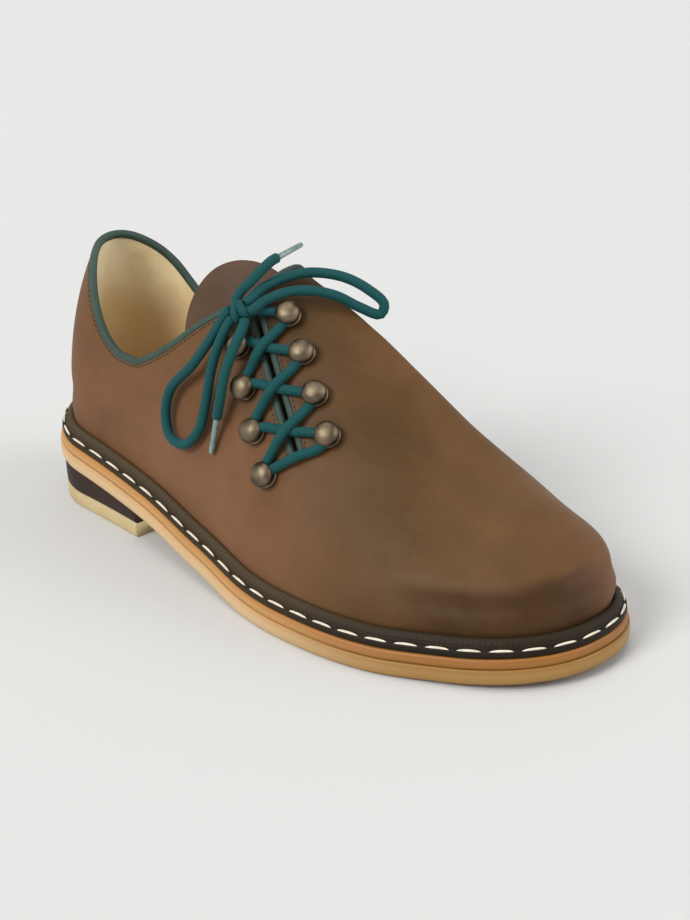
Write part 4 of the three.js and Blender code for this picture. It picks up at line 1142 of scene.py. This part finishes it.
def tonguePiece():
    low, high = -tongue["drop"], last["slitSize"] + tongue["rise"]
    half, rows, columns = tongue["width"] / 2, tongue["rows"], tongue["columns"]
    footDrop, headDrop = tongueDrop((0, 0.25, 0.5)), tongueDrop((0.5, 0.75, 1))
    crown = high - half
    shares = np.sin(np.linspace(-1, 1, columns + 1) * np.pi / 2)
    verts = []
    for along in low + (high - low) * np.sin(np.arange(rows + 1) / rows * np.pi / 2):
        share = np.clip((along - low) / (crown - low), 0, 1)
        reach = tongue["footWidth"] / 2 * (1 - share) + half * share
        reach *= math.sqrt(max(0.0, 1 - (max(0.0, along - crown) / half) ** 2))
        level = np.clip((along - low) / (last["slitSize"] - low), 0, 1)
        for side in shares * reach:
            drop = footDrop(side) * (1 - level) + headDrop(side) * level
            wave = 0.35 * math.sin(along * 0.11 + side * 0.09)
            verts.append(framePoint(along, side + tongue["offset"], -(drop + wave + 0.35)))
    piece = makeObject("tongueLeather", verts, gridFaces(rows + 1, columns + 1))
    mergeClose(piece, 0.03)
    if piece.data.polygons[len(piece.data.polygons) // 2].normal.dot(Vector(slitOut.tolist())) < 0:
        piece.data.flip_normals()
    piece.data.materials.append(tongueLeather)
    solid = piece.modifiers.new("wall", "SOLIDIFY")
    solid.thickness = tongue["thick"] * mm
    solid.offset = -1
    bevel = piece.modifiers.new("edge", "BEVEL")
    bevel.width = tongue["edgeRound"] * mm
    bevel.segments = 3
    bevel.angle_limit = math.radians(50)
    applyModifiers(piece)
    finish(piece, tongueLeather, "tongue", "tongue")


tonguePiece()
print("tongue made")


# Sole
# Painted shade on the sole's edges: they turn to darker toe tones from this place along the shoe, over this
# length
edgeShadeAlong = {"heelEnd": 150, "length": 110}      # where along the shoe the edge turns to its toe tones


def markLevels(piece, low, high):
    points = vertexPoints(piece)
    markPoints(piece, "level", (points[:, 2] - underside(points[:, 0]) - low) / (high - low))
    # Painted shade: how far each point of the edge is darkened towards the toe
    shadeTowardToe = np.clip((points[:, 0] - edgeShadeAlong["heelEnd"]) / edgeShadeAlong["length"], 0, 1)
    markPoints(piece, "shadeTowardToe", easeStep(shadeTowardToe))


# A slab under the foot, from rows of (set back from the outline, 1 where it follows the foot's pitch, height)
def slabPiece(name, profile, material, slot, replaced, levels=None, stations=150, endTurn=1.0):
    turns = np.linspace(0, endTurn, stations + 1)
    outerTurns = -np.maximum(turns, 1e-9)
    innerTurns = np.where(turns % 1 == 0, outerTurns, turns)
    sides = []
    for sideTurns in (outerTurns, innerTurns):
        spots = [inset(sideTurns, np.full(len(turns), back)) for back, _, _ in profile]
        sides.append([np.column_stack([spot, follow * underside(spot[:, 0]) + height])
                      for spot, (_, follow, height) in zip(spots, profile)])
    outer, inner = sides
    shares = np.linspace(0, 1, 15)[1:-1]
    ring = outer + [outer[-1] * (1 - share) + inner[-1] * share for share in shares]
    ring += inner[::-1] + [inner[0] * (1 - share) + outer[0] * share for share in shares]
    faces = gridFaces(stations + 1, len(ring), False, True)
    if endTurn < 1:
        faces.append(tuple(range(stations * len(ring), (stations + 1) * len(ring))))
    mesh = (np.stack(ring, 1).reshape(-1, 3), faces, None)
    piece = addPiece(name, [mesh], material, slot, replaced, merge=0.01)
    if levels:
        markLevels(piece, *levels)


def solePieces():
    top, step, heelStep = sole["outsole"], sole["midsoleStep"], sole["heelStep"]
    lift, breast = sole["heelLift"], turnAt(sole["heelLength"] - 2.5)
    insoleBack = last["set"] + last["wall"] + sole["seam"]
    slabPiece("outsoleLayer", [(1.2, 1, 0), (0.5, 1, 0.2), (0.15, 1, 0.7), (0, 1, 1.6), (0.05, 1, 3.2),
                               (0, 1, top - 0.8), (0.12, 1, top - 0.25), (0.5, 1, top)],
              outsoleRubber, "rubber", "outsole", (0, top))
    slabPiece("midsoleLayer", [(step + 0.5, 1, midsoleBase - 0.28), (step + 0.1, 1, midsoleBase - 0.05),
                               (step, 1, midsoleBase + 0.5), (step + 0.05, 1, midsoleBase + 2.2),
                               (step + 0.2, 1, midsoleTop - 0.5), (step + 0.9, 1, midsoleTop)],
              midsoleLeather, "midsole", "midsole", (midsoleBase, midsoleTop))
    slabPiece("heelWedge", [(heelStep + 0.5, 0, lift + 0.1), (heelStep + 0.1, 0, lift + 0.6),
                            (heelStep, 0, lift + 1.4), (heelStep - 0.3, 1, -1.0), (heelStep + 0.2, 1, -0.05)],
              heelRubber, "heel", "heel_wedge", None, 60, breast)
    slabPiece("heelLift", [(heelStep + 0.9, 0, 0), (heelStep + 0.3, 0, 0.3), (heelStep, 0, 1.0),
                           (heelStep, 0, lift - 0.7), (heelStep + 0.5, 0, lift)],
              liftRubber, "lift", "heel_lift", None, 60, breast)
    slabPiece("insoleLayer", [(insoleBack, 1, upperBase), (insoleBack, 1, upperBase + 1.5),
                              (insoleBack + 0.3, 1, upperBase + 2.8), (insoleBack + 1.0, 1, upperBase + 3.0)],
              insoleLeather, "insole", "insole")


solePieces()
print("sole made")

# The welt: a flange that carries the stitches, and a ribbed bead against the upper
welt = {"stations": 1800, "ribPitch": 2.3, "ribDepth": 0.14, "stitchPitch": 12.6, "stitchLength": 9.6,
        "stitchOut": 4.75, "stitchUp": 2.78, "thread": 0.54}


def weltPiece():
    rim = last["set"] - sole["weltStep"]
    flange = [(0.0, 0.0), (rim - 0.4, 0.0), (rim, 0.35), (rim + 0.08, 1.4), (rim, 2.3), (rim - 0.25, 2.85),
              (rim - 0.45, 2.93), (5.0, 2.75), (4.8, 2.5), (4.4, 2.5), (4.1, 2.85)]
    bead = [(3.92, 3.4), (3.82, 4.05), (3.52, 4.35), (3.5, 4.75), (3.3, 5.25), (3.08, 5.45), (2.95, 5.85),
            (2.6, 6.35), (2.3, 6.5), (2.05, 6.78), (1.5, 7.05), (0.8, 7.1), (0.3, 6.9), (0.05, 6.5)]
    count = welt["stations"]
    turns = np.linspace(-1, 1, count, endpoint=False)
    line = outlinePoint(turns)
    lengths = lengthsAlong(line)
    even = np.interp(np.linspace(0, lengths[-1], count, endpoint=False), lengths, turns)
    where = np.interp(even, turns, lengths)
    fade = np.interp(line[:, 0], [150, 250], [1, 0.35])
    rows = []
    for out, up in flange + bead:
        depth = welt["ribDepth"] * np.clip((up - 3.2) / 1.2, 0, 1) * (1 if out > 0.6 else 0.3)
        wave = depth * fade * np.sin(2 * np.pi * where / welt["ribPitch"] + up * 0.9)
        spot = inset(even, last["set"] - out - wave)
        rows.append(np.column_stack([spot, underside(spot[:, 0]) + upperBase + up + wave * 0.6]))
    mesh = (np.stack(rows, 1).reshape(-1, 3), gridFaces(count, len(rows), True, True), None)
    markLevels(addPiece("weltRing", [mesh], weltRubber, "welt", "welt", merge=0.001), upperBase, weltLine)


def weltStitches():
    turns = np.linspace(-1, 1, 4000, endpoint=False)
    lengths = lengthsAlong(inset(turns, np.full(len(turns), last["set"] - welt["stitchOut"])))
    count = int(lengths[-1] / welt["stitchPitch"])
    shares = np.array([0, 0.05, 0.15, 0.3, 0.5, 0.7, 0.85, 0.95, 1])
    lift = np.array([-0.5, -0.1, 0.2, 0.34, 0.4, 0.34, 0.2, -0.1, -0.5])
    radii = welt["thread"] - np.array([0.28, 0.16, 0.08, 0.02, 0, 0.02, 0.08, 0.16, 0.28])
    parts = []
    for i in range(count):
        places = (i * lengths[-1] / count + shares * welt["stitchLength"]) % lengths[-1]
        turn = np.interp(places, lengths, turns)
        spot = inset(turn, np.full(len(turn), last["set"] - welt["stitchOut"]))
        height = underside(spot[:, 0]) + upperBase + welt["stitchUp"] + lift
        parts.append(tubeMesh(np.column_stack([spot, height]), radii, 10))
    addPiece("weltStitches", parts, stitchThread, "welt")


weltPiece()
weltStitches()
print("welt made")

# Ball eyelets: a washer, a domed ball and the post that joins them, as profiles of radius and height
eyelet = {
    "base": [(0.0, 0.0), (5.1, 0.0), (5.35, 0.25), (5.3, 0.6), (4.9, 1.0), (4.3, 1.05), (3.6, 0.8),
             (0.0, 0.7)],
    "dome": [(0.0, 3.2), (4.1, 3.2), (4.75, 2.95), (5.1, 3.0), (5.28, 3.35), (5.25, 3.9), (5.0, 4.6),
             (4.5, 5.3), (3.8, 5.9), (2.9, 6.35), (1.9, 6.62), (0.9, 6.75), (0.0, 6.78)],
    "post": [(0.0, 0.6), (1.0, 0.6), (0.9, 2.0), (1.0, 3.4), (0.0, 3.4)],
    "postAside": 2.6, "above": 0.3,
}


def eyeletPiece(side, row):
    centre, normal = slitPoint(*eyeletTable[side][row], eyelet["above"])
    aside = slitAcross * eyelet["postAside"] * (1 if side == "front" else -1)
    parts = [turnedMesh(eyelet["base"], centre, normal), turnedMesh(eyelet["dome"], centre, normal),
             turnedMesh(eyelet["post"], centre + aside, normal, 16)]
    name = f"ballEyelet{side.capitalize()}{row + 1}"
    addPiece(name, parts, antiqueBrass, "brass", f"eyelet_{side}_{row + 1}", merge=0.005)


for eyeletSide in ("front", "rear"):
    for eyeletRow in range(4):
        eyeletPiece(eyeletSide, eyeletRow)
print("eyelets made")


# Stage: a pale floor that curves up into a low wall a long way off
stage = {"floor": [(0, 0), (9000, 0), (10500, 80), (12000, 450), (13000, 1100), (13700, 2000), (14000, 3200)],
         "floorColour": "#cfcfce", "roomColour": "#f4f4f2", "roomStrength": 0.55}
# Each light: the direction it comes from, its strength and its width in degrees
softLights = {
    "keyLight": ((-0.1, -2.2, 1.8), 2.2, 28),
    "topLight": ((-0.25, 0.1, 2.55), 0.6, 42),
    "fillLight": ((2.3, 1.6, 1.2), 1.45, 44),
}


def addStage():
    piece = makeObject("floor", *turnedMesh(stage["floor"], np.array([heelMiddle, 0, 0]), (0, 0, 1), 96))
    mergeClose(piece, 0.02)
    material = setShader(newMaterial("mattPaleFloor"), {"Base Color": linear(stage["floorColour"]),
                                                        "Roughness": 0.75})
    piece.data.materials.append(material)
    world = bpy.data.worlds.new("softRoom")
    world.use_nodes = True
    background = world.node_tree.nodes["Background"]
    background.inputs["Color"].default_value = linear(stage["roomColour"])
    background.inputs["Strength"].default_value = stage["roomStrength"]
    bpy.context.scene.world = world


# A soft light so far off that it falls evenly
def addSoftLight(name, towards, strength, width):
    data = bpy.data.lights.new(name, "SUN")
    data.energy = strength
    data.angle = math.radians(width)
    light = bpy.data.objects.new(name, data)
    light.location = Vector(towards).normalized() * 3
    light.rotation_euler = Vector(towards).to_track_quat("Z", "Y").to_euler()
    bpy.context.scene.collection.objects.link(light)


addStage()
for lightName, lightForm in softLights.items():
    addSoftLight(lightName, *lightForm)
bpy.context.scene.view_settings.view_transform = "Standard"
print("stage set")
